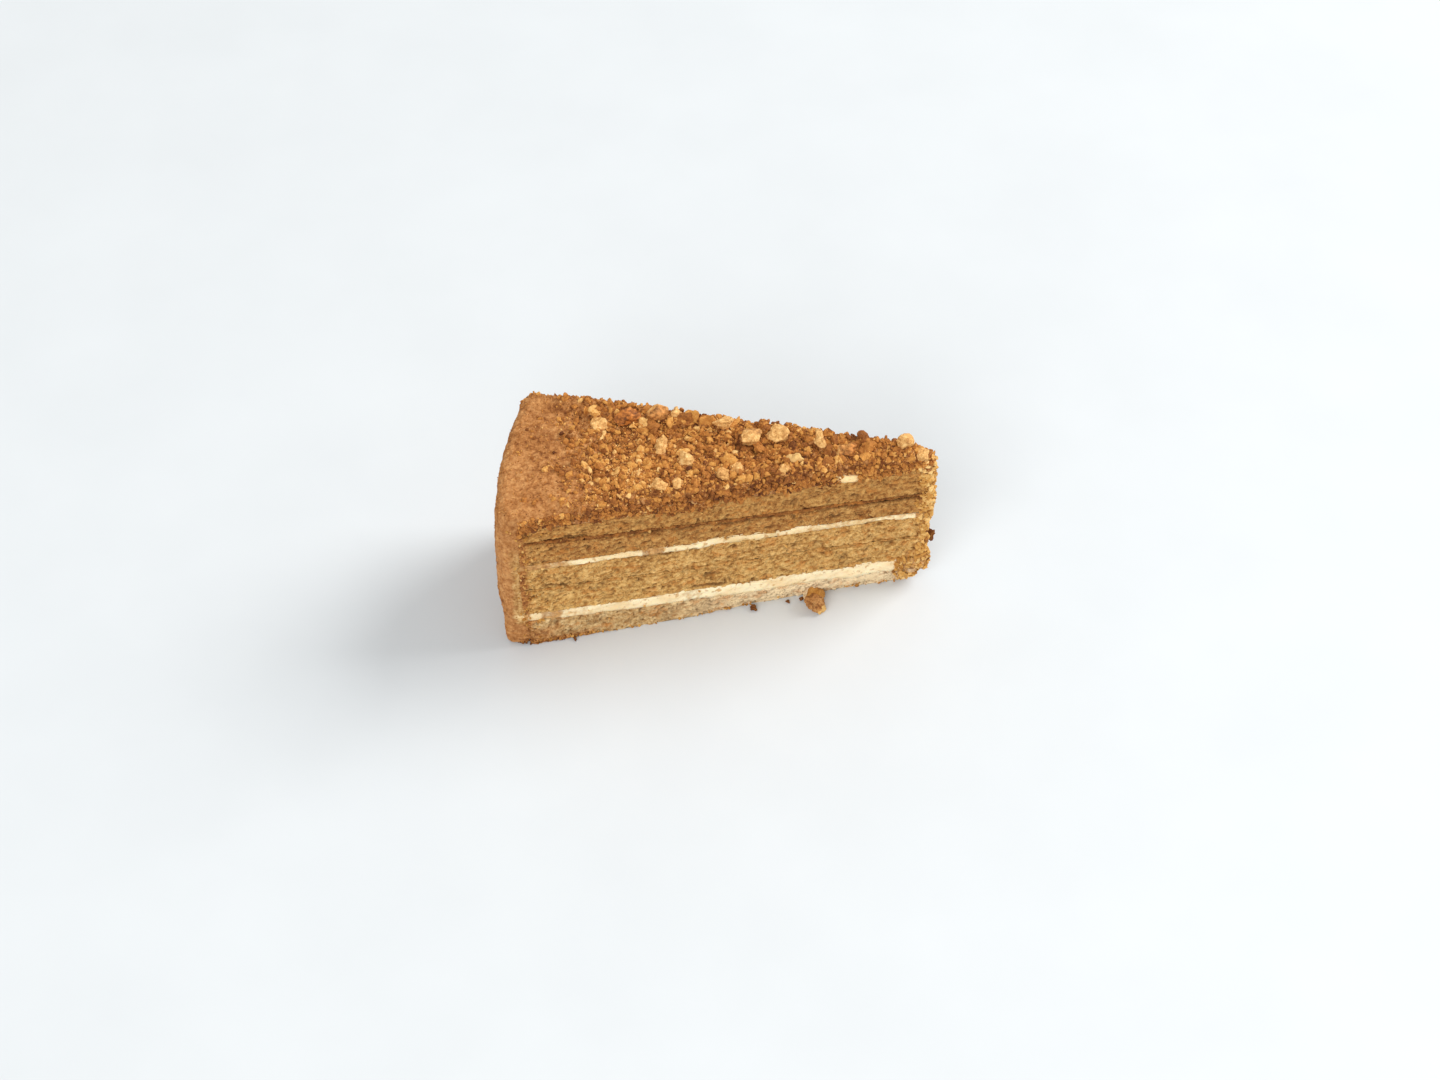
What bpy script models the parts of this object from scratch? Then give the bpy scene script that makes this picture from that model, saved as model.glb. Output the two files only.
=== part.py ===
# A slice of medovik honey cake: five sponges with four creams between them,
# a thin cream on top, and a coat of crumbs and walnut bits over the top and
# the outer wall. The slice lies along X with its point at +X, and the cut face
# that shows looks towards -Y. The origin is under the middle of the slice.

import math
import random

import bmesh
import bpy
from mathutils import Matrix, Vector, noise

MM = 0.001
NEARLY = 1e-6

# The round cake and how the slice was cut from it
CAKE_RADIUS = 130 * MM
CUT_ANGLE = math.radians(23)              # between the two cut faces
CUTS_MEET = Vector((67.0, 0.5)) * MM      # where the two cut planes cross
CAKE_CENTRE = Vector((66.4, -16.8)) * MM  # the slice was cut a little off centre
TIP_X = 64.7 * MM                         # how far the blunt point reaches
TIP_HALF_WIDTH = 1.9 * MM
NOSE = 1.6 * MM                           # the point is rounded back by this much
NOSE_START = 6 * MM
NEAR_CORNER = 7 * MM                      # radius of the corner that shows
FAR_CORNER = 3.5 * MM
OUTER_RIM = 3.2 * MM
BARREL = 1.3 * MM                         # the outer wall bulges at mid-height
FOOT_HEIGHT = 6 * MM                      # below this the slice draws in
WALL_FOOT_INSET = 0.8 * MM
SIDE_FOOT_INSET = 1.2 * MM
TIP_FOOT_INSET = 4.0 * MM
NARROW = 6 * MM                           # narrower than this the sides draw in less

# The coat of crumbs
COAT = 1.8 * MM
COAT_WRAP = 0.2 * MM                      # the coat ends this far past the corners
COAT_CLEARANCE = 0.8 * MM                 # its lower edge stands clear of the floor
EDGE_WEAR = 0.9 * MM                      # the top edges are worn down by this
RIM_CALM = 12 * MM                        # the top is smoother this close to the wall
GAP = 0.3 * MM                            # between neighbouring pieces
CUT_RELIEF = 0.45 * MM
CUT_GRAIN = (160, 420)                    # coarse and fine waves in a metre of cut face
CUT_FINE_SHARE = 0.6
COAT_RELIEF = 0.6 * MM
COAT_GRAIN = (130, 330)
WEAR_GRAIN = 90
WEAR_SPREAD = 0.4                         # how far the wear of an edge varies

# Each boundary between layers: height at the outer wall, height at the point,
# and how early it sags (1 is a straight fall)
BOUNDARIES = {
    "sponge_1": (11.3 * MM, 7.0 * MM, 1.8),
    "cream_1": (14.3 * MM, 11.2 * MM, 1.8),
    "sponge_2": (24.0 * MM, 20.2 * MM, 1.5),
    "cream_2": (25.2 * MM, 21.4 * MM, 1.5),
    "sponge_3": (33.4 * MM, 29.4 * MM, 1.0),
    "cream_3": (35.4 * MM, 31.2 * MM, 1.0),
    "sponge_4": (44.4 * MM, 38.5 * MM, 1.6),
    "cream_4": (45.9 * MM, 39.8 * MM, 1.6),
    "sponge_5": (53.8 * MM, 52.4 * MM, 1.0),
    "cream_top": (55.1 * MM, 53.6 * MM, 1.0),
}
SLICE_TOP = (57.0 * MM, 55.5 * MM, 1.0)

# Name, colour and roughness of each finish
SPONGE = ("honey sponge", (0.48, 0.27, 0.085), 0.9)
CREAM = ("sour cream filling", (0.80, 0.66, 0.42), 0.55)
SOAKED_CREAM = ("soaked cream", (0.52, 0.34, 0.14), 0.7)
CRUMBS = ("crumb coat", (0.46, 0.20, 0.055), 0.95)

# The larger nut pieces and lumps on the top: distance from the outer wall,
# distance from the middle line (+ is away from the face that shows), then
# length, width and height
NUTS = [
    (29.7, 11.6, 5.4, 6.0, 3.2), (30.6, 6.6, 2.2, 4.0, 2.0), (38.6, 13.3, 10.0, 6.0, 4.2),
    (47.1, 13.8, 6.5, 5.0, 4.0), (52.3, 13.9, 4.6, 4.5, 5.0), (47.9, 1.6, 4.6, 6.6, 3.4),
    (54.9, -3.4, 5.2, 6.4, 3.6), (46.5, -13.0, 5.6, 4.8, 2.8), (52.4, -12.8, 4.4, 4.0, 2.4),
    (66.0, 10.3, 6.5, 4.6, 3.6), (73.6, 4.0, 8.0, 6.6, 4.6), (81.6, 5.6, 7.0, 6.4, 4.6),
    (94.3, 3.4, 3.2, 6.6, 3.4), (101.8, -0.6, 7.6, 6.2, 3.6), (119.0, 0.9, 5.0, 4.4, 4.4),
    (124.2, -0.8, 4.6, 4.0, 3.0), (83.5, -7.6, 4.2, 3.6, 2.6), (65.4, -9.2, 5.0, 4.2, 2.6),
    (69.6, -6.9, 4.4, 4.0, 2.4),
]
LARGE_NUT = 5.5 * MM                      # nuts over this are modelled more finely
NUT_TURN = 0.5
SINK = 0.9 * MM                           # how deep the bits sit in the coat
LUMP_GRAIN = 3.1                          # waves across one bit
LUMP_ROUGHNESS = 0.42
LUMP_SHIFT = 900                          # makes each bit's waves its own

# The coarse crumbs
CRUMB_TRIES = 190
CRUMB_SEED = 16
CRUMB_SIZE = (1.9 * MM, 3.9 * MM)
CRUMB_STRETCH = (0.8, 1.25)
CRUMB_HEIGHT = 0.85                       # of its size
CRUMB_SPACING = 2.2 * MM
CRUMBS_START = 0.14                       # share of the length that stays bare
CRUMBS_END = 0.98
CROWDING = 0.9                            # under 1 crowds them towards the point
CUT_MARGIN = 1.4 * MM
EDGE_CRUMBS = 4                           # one crumb in so many lies on the far edge
EDGE_SHARE = 0.97

# The crumbs that fell from the cut face and lean on its foot, laid out as the nuts
FALLEN_CRUMBS = [(93.5, -12.2, 5.6, 6.0, 5.8), (92.4, -8.6, 4.2, 5.0, 3.4)]
FALLEN_MIDDLE = 0.45                      # share of its height where its middle lies

OUTER_X = CAKE_CENTRE.x - CAKE_RADIUS
LENGTH = TIP_X - OUTER_X
OUTER_WIDTH = 2 * math.tan(CUT_ANGLE / 2) * (CUTS_MEET.x - OUTER_X)


def spread(start, end, count):
    """Evenly spaced values from start to end."""
    return [start + (end - start) * i / count for i in range(count + 1)]


# Where the bars that the layers are drawn from are cut
SPONGE_LEVELS = 3
COAT_LEVELS = 6
LENGTH_CUTS = 21
COAT_CUTS = 7
NEAR_STATIONS = [0, NEAR_CORNER / 2, NEAR_CORNER]
LONG_STATIONS = spread(NEAR_CORNER + 2 * COAT_WRAP, LENGTH, LENGTH_CUTS)
LAYER_COLUMNS = [0, NEAR_CORNER / 2, NEAR_CORNER, OUTER_WIDTH / 2,
                 OUTER_WIDTH - FAR_CORNER, OUTER_WIDTH]
COAT_COLUMNS = ([0, NEAR_CORNER / 2]
                + spread(NEAR_CORNER, OUTER_WIDTH - FAR_CORNER, COAT_CUTS) + [OUTER_WIDTH])


def height(boundary, along):
    """Height of a boundary at a distance in from the outer wall."""
    outer, tip, sag = boundary
    left = max(0.0, 1 - along / LENGTH)
    return tip + (outer - tip) * left ** sag


def rounded(a, b, radius):
    """Moves a point of the square at a corner onto the quarter disc in it."""
    p, q = radius - a, radius - b
    if p <= 0 or q <= 0:
        return a, b
    reach = max(p, q)
    turn = math.pi / 4 * min(p, q) / reach
    longer, shorter = reach * math.cos(turn), reach * math.sin(turn)
    if p >= q:
        return radius - longer, radius - shorter
    return radius - shorter, radius - longer


def half_width(x):
    """Half the width of the slice at x."""
    return math.hypot(math.tan(CUT_ANGLE / 2) * (CUTS_MEET.x - x), TIP_HALF_WIDTH)


def slice_point(along, across, z):
    """Draws a point of a straight bar into the wedge of the slice."""
    along, across = rounded(along, across, NEAR_CORNER)
    along, far = rounded(along, OUTER_WIDTH - across, FAR_CORNER)
    side = 1 - 2 * far / OUTER_WIDTH

    foot = max(0.0, 1 - z / FOOT_HEIGHT) ** 2
    wall_y = CUTS_MEET.y + side * OUTER_WIDTH / 2
    wall_x = CAKE_CENTRE.x - math.sqrt(CAKE_RADIUS ** 2 - (wall_y - CAKE_CENTRE.y) ** 2)
    wall_x += foot * WALL_FOOT_INSET - BARREL * math.sin(math.pi * z / SLICE_TOP[0])
    tip_x = TIP_X - foot * TIP_FOOT_INSET
    x = wall_x + (tip_x - wall_x) * along / LENGTH
    x -= NOSE * side ** 2 * max(0.0, 1 - (LENGTH - along) / NOSE_START)
    half = half_width(x)
    half -= foot * SIDE_FOOT_INSET * along / LENGTH * min(1.0, half / NARROW)
    return Vector((x, CUTS_MEET.y + side * half, z))


def cut_bar(stations, columns, levels):
    """A straight bar, cut across at every station, column and level."""
    low = Vector((stations[0], columns[0], levels[0]))
    size = Vector((stations[-1], columns[-1], levels[-1])) - low
    bm = bmesh.new()
    place = Matrix.Translation(low + size / 2) @ Matrix.Diagonal(size.to_4d())
    bmesh.ops.create_cube(bm, size=1, matrix=place)
    for normal, cuts in zip(Matrix.Identity(3), (stations, columns, levels)):
        for cut in cuts[1:-1]:
            geometry = bm.verts[:] + bm.edges[:] + bm.faces[:]
            bmesh.ops.bisect_plane(bm, geom=geometry, dist=NEARLY,
                                   plane_co=normal * cut, plane_no=normal)
    return bm


def cut_face_relief(along, across, point, amount):
    """How far the open crumb of a cut face stands out of its plane."""
    if along < NEAR_CORNER + COAT_WRAP:
        return 0.0
    on_near, on_far = across < NEARLY, across > OUTER_WIDTH - NEARLY
    if not (on_near or on_far):
        return 0.0
    coarse, fine = (noise.noise(point * grain) for grain in CUT_GRAIN)
    bump = amount * (coarse + CUT_FINE_SHARE * fine)
    return -bump if on_near else bump


def new_object(name, bm, collection):
    """An object of triangles, so that no face is bent."""
    bmesh.ops.triangulate(bm, faces=bm.faces)
    mesh = bpy.data.meshes.new(name)
    bm.to_mesh(mesh)
    bm.free()
    obj = bpy.data.objects.new(name, mesh)
    collection.objects.link(obj)
    return obj


def make_layer(name, lower, upper, levels, collection):
    """One sponge or cream, inside the coat and open on both cut faces."""
    bm = cut_bar(NEAR_STATIONS + LONG_STATIONS, LAYER_COLUMNS, spread(0, 1, levels))
    inset = COAT + GAP
    for vert in bm.verts:
        along, across, share = vert.co
        along = max(along, inset)
        low = height(lower, along) + GAP / 2 if lower else 0.0
        high = height(upper, along) - GAP / 2
        z = low + (high - low) * share
        flat = Vector((along, across, z))
        if along < NEAR_CORNER + COAT_WRAP:
            across = max(across, inset)
        if along < FAR_CORNER + COAT_WRAP:
            across = min(across, OUTER_WIDTH - inset)
        point = slice_point(along, across, z)
        point.y += cut_face_relief(along, across, flat, CUT_RELIEF)
        vert.co = point
    return new_object(name, bm, collection)


def make_coat_hull(collection):
    """The whole slice as one block, with the worn edges and lumpy top of its coat."""
    rim_share = OUTER_RIM / SLICE_TOP[0]
    levels = spread(0, 1 - rim_share, COAT_LEVELS) + [1 - rim_share / 2, 1]
    bm = cut_bar([0, OUTER_RIM / 2, OUTER_RIM, NEAR_CORNER] + LONG_STATIONS,
                 COAT_COLUMNS, levels)
    for vert in bm.verts:
        along, across, share = vert.co
        top = height(SLICE_TOP, along)
        flat = Vector((along, across, share * top))
        z = COAT_CLEARANCE + (top - COAT_CLEARANCE) * share
        on_cut = min(across, OUTER_WIDTH - across) < NEARLY
        on_top = share > 1 - NEARLY
        bump = COAT_RELIEF * sum(noise.noise(flat * grain) for grain in COAT_GRAIN)
        rim_along, depth = rounded(along, top - z, OUTER_RIM)
        z = top - depth
        if on_top and on_cut:
            wear = EDGE_WEAR * (1 + WEAR_SPREAD * noise.noise(flat * WEAR_GRAIN))
            z -= wear * min(1, along / RIM_CALM)
        elif on_top:
            z += bump * min(1, along / RIM_CALM)
        point = slice_point(rim_along, across, z)
        point.y += cut_face_relief(along, across, flat, CUT_RELIEF)
        if along < NEARLY and not on_top:
            point.x -= bump
        vert.co = point
    return new_object("crumb_coat", bm, collection)


def make_coat_cutter(collection):
    """The room that the layers take inside the coat, open past both cut faces."""
    beyond = 4 * MM
    bm = cut_bar(NEAR_STATIONS + LONG_STATIONS, LAYER_COLUMNS, spread(0, 1, COAT_LEVELS))
    for vert in bm.verts:
        along, across, share = vert.co
        along = max(along, COAT)
        z = (height(BOUNDARIES["cream_top"], along) + GAP / 2) * share
        out_near = out_far = 0.0
        if along < NEAR_CORNER + COAT_WRAP:
            across = max(across, COAT)
        elif across < NEARLY:
            out_near = beyond
        if along < FAR_CORNER + COAT_WRAP:
            across = min(across, OUTER_WIDTH - COAT)
        elif across > OUTER_WIDTH - NEARLY:
            out_far = beyond
        point = slice_point(along, across, max(z, FOOT_HEIGHT))
        point.z = z if share > NEARLY else -beyond
        point.y += out_far - out_near
        if along > LENGTH - NEARLY:
            point.x += beyond
        vert.co = point
    cutter = new_object("coat_cutter", bm, collection)
    cutter.hide_render = True
    cutter.display_type = "WIRE"
    return cutter


def make_lump(name, centre, size, turn, detail, collection):
    """A rough broken piece: a small ball with its corners pushed about."""
    bm = bmesh.new()
    bmesh.ops.create_icosphere(bm, subdivisions=detail, radius=0.5)
    for vert in bm.verts:
        rough = noise.noise(vert.co * LUMP_GRAIN + centre * LUMP_SHIFT)
        vert.co *= 1 + LUMP_ROUGHNESS * rough
        vert.co = Vector((vert.co.x * size[0], vert.co.y * size[1], vert.co.z * size[2]))
    bmesh.ops.transform(bm, verts=bm.verts,
                        matrix=Matrix.Translation(centre) @ turn.to_4x4())
    return new_object(name, bm, collection)


def on_top(along, from_middle):
    """A point on the coat's top, by its distance from the wall and the middle line."""
    return Vector((OUTER_X + along, CUTS_MEET.y + from_middle, height(SLICE_TOP, along)))


def make_nuts(collection):
    """The larger nut pieces, each sunk a little into the coat."""
    draw = random.Random(CRUMB_SEED)
    for number, (along, middle, length, width, tall) in enumerate(NUTS):
        size = Vector((length, width, tall)) * MM
        centre = on_top(along * MM, middle * MM)
        centre.z += size.z * 0.5 - SINK
        turn = Matrix.Rotation(draw.uniform(-NUT_TURN, NUT_TURN), 3, "Z")
        detail = 2 if max(size) > LARGE_NUT else 1
        make_lump(f"nut_{number}", centre, size, turn, detail, collection)


def make_crumbs(collection):
    """Coarse crumbs, few by the outer wall and crowded towards the point."""
    draw = random.Random(CRUMB_SEED + 1)
    placed = []
    for attempt in range(CRUMB_TRIES):
        share = draw.random() ** CROWDING
        along = LENGTH * (CRUMBS_START + (CRUMBS_END - CRUMBS_START) * share)
        spot = on_top(along, 0)
        reach = (half_width(spot.x) - CUT_MARGIN) * EDGE_SHARE
        size = CRUMB_SIZE[0] + (CRUMB_SIZE[1] - CRUMB_SIZE[0]) * draw.random() ** 2
        on_edge = attempt % EDGE_CRUMBS == 0
        spot.y += reach if on_edge else draw.uniform(-reach, reach)
        stretch = Vector((draw.uniform(*CRUMB_STRETCH), draw.uniform(*CRUMB_STRETCH),
                          CRUMB_HEIGHT)) * size
        turn = Matrix.Rotation(draw.uniform(0, math.pi), 3, "Z")
        if any((spot - other).length < CRUMB_SPACING for other in placed):
            continue
        placed.append(spot)
        spot = spot + Vector((0, 0, stretch.z * 0.5 - SINK))
        make_lump(f"crumb_{attempt}", spot, stretch, turn, 1, collection)


def apply_modifiers(obj):
    """Replaces an object's mesh with the one its modifiers make."""
    graph = bpy.context.evaluated_depsgraph_get()
    mesh = bpy.data.meshes.new_from_object(obj.evaluated_get(graph))
    obj.modifiers.clear()
    obj.data = mesh


def fuse(obj, bits):
    """Joins a collection of small pieces onto an object and removes the collection."""
    union = obj.modifiers.new("fused bits", "BOOLEAN")
    union.operation = "UNION"
    union.operand_type = "COLLECTION"
    union.collection = bits
    union.solver = "EXACT"
    bpy.context.view_layer.update()
    apply_modifiers(obj)
    for bit in list(bits.objects):
        bpy.data.objects.remove(bit)
    bpy.data.collections.remove(bits)


def drop_scrap(obj):
    """Keeps the largest body of a mesh, and drops loose scraps."""
    bm = bmesh.new()
    bm.from_mesh(obj.data)
    unseen = set(bm.verts)
    bodies = []
    while unseen:
        body, still_to_visit = set(), [unseen.pop()]
        while still_to_visit:
            vert = still_to_visit.pop()
            body.add(vert)
            for edge in vert.link_edges:
                other = edge.other_vert(vert)
                if other in unseen:
                    unseen.remove(other)
                    still_to_visit.append(other)
        bodies.append(body)
    bodies.sort(key=len)
    for body in bodies[:-1]:
        bmesh.ops.delete(bm, geom=list(body), context="VERTS")
    bm.to_mesh(obj.data)
    bm.free()


def make_material(name, colour, roughness):
    material = bpy.data.materials.new(name)
    material.use_nodes = True
    shader = material.node_tree.nodes["Principled BSDF"]
    shader.inputs["Base Color"].default_value = (*colour, 1)
    shader.inputs["Roughness"].default_value = roughness
    shader.inputs["Metallic"].default_value = 0
    return material


def new_collection(name):
    collection = bpy.data.collections.new(name)
    bpy.context.scene.collection.children.link(collection)
    return collection


def make_layers(collection):
    """The sponges and creams, from the bottom up."""
    layers = {}
    lower = None
    for name, upper in BOUNDARIES.items():
        levels = SPONGE_LEVELS if name.startswith("sponge") else 1
        layers[name] = make_layer(name, lower, upper, levels, collection)
        lower = upper
    return layers


def add_fallen_crumbs(sponge):
    """A crumb on the floor, with a smaller one between it and the lowest sponge."""
    bits = new_collection("fallen_bits")
    for along, middle, length, width, tall in FALLEN_CRUMBS:
        centre = on_top(along * MM, middle * MM)
        centre.z = tall * MM * FALLEN_MIDDLE
        size = Vector((length, width, tall)) * MM
        make_lump("fallen_crumb", centre, size, Matrix.Identity(3), 2, bits)
    fuse(sponge, bits)
    floor = bmesh.new()
    floor.from_mesh(sponge.data)
    for vert in floor.verts:
        vert.co.z = max(vert.co.z, 0.0)
    floor.to_mesh(sponge.data)
    floor.free()


def add_coat(collection):
    """The coat over the top and the outer wall, with its crumbs and nuts fused on."""
    cutters = new_collection("cutters")
    coat = make_coat_hull(collection)
    hollow = coat.modifiers.new("room for the layers", "BOOLEAN")
    hollow.operation = "DIFFERENCE"
    hollow.object = make_coat_cutter(cutters)
    hollow.solver = "EXACT"
    bpy.context.view_layer.update()
    apply_modifiers(coat)
    bits = new_collection("coat_bits")
    make_nuts(bits)
    make_crumbs(bits)
    fuse(coat, bits)
    drop_scrap(coat)
    return coat


def main():
    for obj in list(bpy.data.objects):
        bpy.data.objects.remove(obj)
    cake = new_collection("honey_cake_slice")
    layers = make_layers(cake)
    add_fallen_crumbs(layers["sponge_1"])
    coat = add_coat(cake)

    sponge = make_material(*SPONGE)
    cream = make_material(*CREAM)
    soaked = make_material(*SOAKED_CREAM)
    crumbs = make_material(*CRUMBS)
    for name, layer in layers.items():
        if name.startswith("sponge"):
            layer.data.materials.append(sponge)
        elif name in ("cream_2", "cream_4"):
            layer.data.materials.append(soaked)
        else:
            layer.data.materials.append(cream)
    coat.data.materials.append(crumbs)


main()
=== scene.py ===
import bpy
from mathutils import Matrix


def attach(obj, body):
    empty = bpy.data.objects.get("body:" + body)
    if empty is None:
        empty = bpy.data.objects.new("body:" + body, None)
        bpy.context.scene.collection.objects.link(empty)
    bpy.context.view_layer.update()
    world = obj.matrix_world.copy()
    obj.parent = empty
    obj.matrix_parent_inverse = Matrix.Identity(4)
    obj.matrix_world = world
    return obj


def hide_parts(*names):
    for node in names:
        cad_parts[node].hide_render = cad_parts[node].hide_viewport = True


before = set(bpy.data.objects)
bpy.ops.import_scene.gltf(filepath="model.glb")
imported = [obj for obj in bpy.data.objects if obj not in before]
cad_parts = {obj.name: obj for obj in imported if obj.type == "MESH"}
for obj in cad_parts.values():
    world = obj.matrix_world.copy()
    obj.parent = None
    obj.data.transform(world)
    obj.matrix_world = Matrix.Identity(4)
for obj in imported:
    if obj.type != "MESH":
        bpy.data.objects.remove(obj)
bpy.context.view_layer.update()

import math
import random

import bpy
import numpy as np
from mathutils import Matrix, Vector, noise
from mathutils.bvhtree import BVHTree

mm = 0.001

# The slice as the frame has it: its point at +X, the shown cut face towards -Y
slicePlan = {
    "cutsMeet": Vector((67.0, 0.5)) * mm,      # where the two cut planes cross
    "halfAngle": math.radians(11.5),
    "tipHalfWidth": 1.9 * mm,
    "outerX": -63.6 * mm,                      # the outer wall on the middle line
    "tipX": 64.7 * mm,
    "topAtWall": 57.0 * mm,
    "topAtTip": 55.5 * mm,
}
sliceLength = slicePlan["tipX"] - slicePlan["outerX"]


# Half the width of the slice at x
def halfWidth(x):
    reach = np.tan(slicePlan["halfAngle"]) * (slicePlan["cutsMeet"].x - x)
    return np.hypot(reach, slicePlan["tipHalfWidth"])


def topHeight(x):
    share = (x - slicePlan["outerX"]) / sliceLength
    return slicePlan["topAtWall"] + (slicePlan["topAtTip"] - slicePlan["topAtWall"]) * share


# 0 before start, 1 past end, smooth between; start may be the larger
def ramp01(value, start, end):
    share = np.clip((value - start) / (end - start), 0, 1)
    return share * share * (3 - 2 * share)


# Operators work on what is selected, so each piece is picked alone
def pick(piece):
    bpy.ops.object.select_all(action="DESELECT")
    piece.select_set(True)
    bpy.context.view_layer.objects.active = piece


def inEditMode(piece, *steps):
    pick(piece)
    bpy.ops.object.mode_set(mode="EDIT")
    for step in steps:
        step()
    bpy.ops.object.mode_set(mode="OBJECT")


def addObject(objectName, data):
    added = bpy.data.objects.new(objectName, data)
    bpy.context.scene.collection.objects.link(added)
    return added


# A copy of a CAD node's mesh, with its loose triangles joined up
def copyNode(nodeName, pieceName):
    piece = addObject(pieceName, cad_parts[nodeName].data.copy())
    piece.data.materials.clear()
    inEditMode(piece, lambda: bpy.ops.mesh.select_all(action="SELECT"),
               lambda: bpy.ops.mesh.remove_doubles(threshold=1e-6))
    return piece


# One row of three numbers for each item of a mesh's list
def vectors(items, propertyName):
    flat = np.empty(len(items) * 3)
    items.foreach_get(propertyName, flat)
    return flat.reshape(-1, 3)


def points(piece):
    return vectors(piece.data.vertices, "co")


def vertexNormals(piece):
    return vectors(piece.data.vertex_normals, "vector")


def setPoints(piece, places):
    piece.data.vertices.foreach_set("co", np.asarray(places, np.float32).ravel())
    piece.data.update()


# Lets each of these functions move a piece's points, one after the other
def reshape(piece, *changes):
    for change in changes:
        places = points(piece)
        change(places)
        setPoints(piece, places)


# Selects the faces for which wanted(centres, normals) is true
def selectFaces(piece, wanted):
    faces = piece.data.polygons
    chosen = wanted(vectors(faces, "center"), vectors(faces, "normal"))
    inEditMode(piece, lambda: bpy.ops.mesh.select_mode(type="FACE"),
               lambda: bpy.ops.mesh.select_all(action="DESELECT"))
    piece.data.polygons.foreach_set("select", chosen)


# A vertex group, with its weights rounded to tenths
def addGroup(piece, groupName, weights):
    group = piece.vertex_groups.new(name=groupName)
    steps = np.round(np.clip(weights, 0, 1) * 10).astype(int)
    for step in range(1, 11):
        group.add(np.nonzero(steps == step)[0].tolist(), step / 10, "REPLACE")


def addAttribute(piece, attributeName, values):
    attribute = piece.data.attributes.new(attributeName, "FLOAT", "POINT")
    attribute.data.foreach_set("value", np.asarray(values, np.float32))


# Adds one modifier with its settings and applies it at once
def applyModifier(piece, kind, **settings):
    modifier = piece.modifiers.new(kind.lower(), kind)
    for setting, value in settings.items():
        setattr(modifier, setting, value)
    pick(piece)
    bpy.ops.object.modifier_apply(modifier=modifier.name)


# Raises a piece by a solid texture of the kind CLOUDS or VORONOI
def displace(piece, kind, size, height, group="", middle=0.5, depth=2, contrast=1.0):
    texture = bpy.data.textures.new(f"{kind} {size / mm:.2f}", kind)
    texture.noise_scale = size
    texture.contrast = contrast
    if kind == "CLOUDS":
        texture.noise_depth = depth
    applyModifier(piece, "DISPLACE", texture=texture, texture_coords="LOCAL",
                  strength=height, mid_level=middle, vertex_group=group)


# Edges sharper than this stay sharp
smoothUnder = {"layer": math.radians(62), "crumb": math.radians(48)}
floorGap = 0.02 * mm


def shadeSmooth(piece, angle):
    pick(piece)
    bpy.ops.object.shade_smooth_by_angle(angle=angle)


# Nothing goes below the floor that the slice stands on
def finishPiece(piece, material, slotName, *nodeNames):
    places = points(piece)
    places[:, 2] = np.maximum(places[:, 2], floorGap)
    setPoints(piece, places)
    piece.data.materials.clear()
    piece.data.materials.append(material)
    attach(piece, "root")
    if nodeNames:
        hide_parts(*nodeNames)
    return piece


# Shader maths: a Value wraps a socket, so that expressions add Math nodes
class Value:
    def __init__(self, graph, socket):
        self.graph, self.socket = graph, socket

    def __add__(self, other): return self.graph.maths("ADD", self, other)
    def __radd__(self, other): return self.graph.maths("ADD", other, self)
    def __sub__(self, other): return self.graph.maths("SUBTRACT", self, other)
    def __rsub__(self, other): return self.graph.maths("SUBTRACT", other, self)
    def __mul__(self, other): return self.graph.maths("MULTIPLY", self, other)
    def __rmul__(self, other): return self.graph.maths("MULTIPLY", other, self)
    def __truediv__(self, other): return self.graph.maths("DIVIDE", self, other)
    def __rtruediv__(self, other): return self.graph.maths("DIVIDE", other, self)
    def __pow__(self, other): return self.graph.maths("POWER", self, other)


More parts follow.
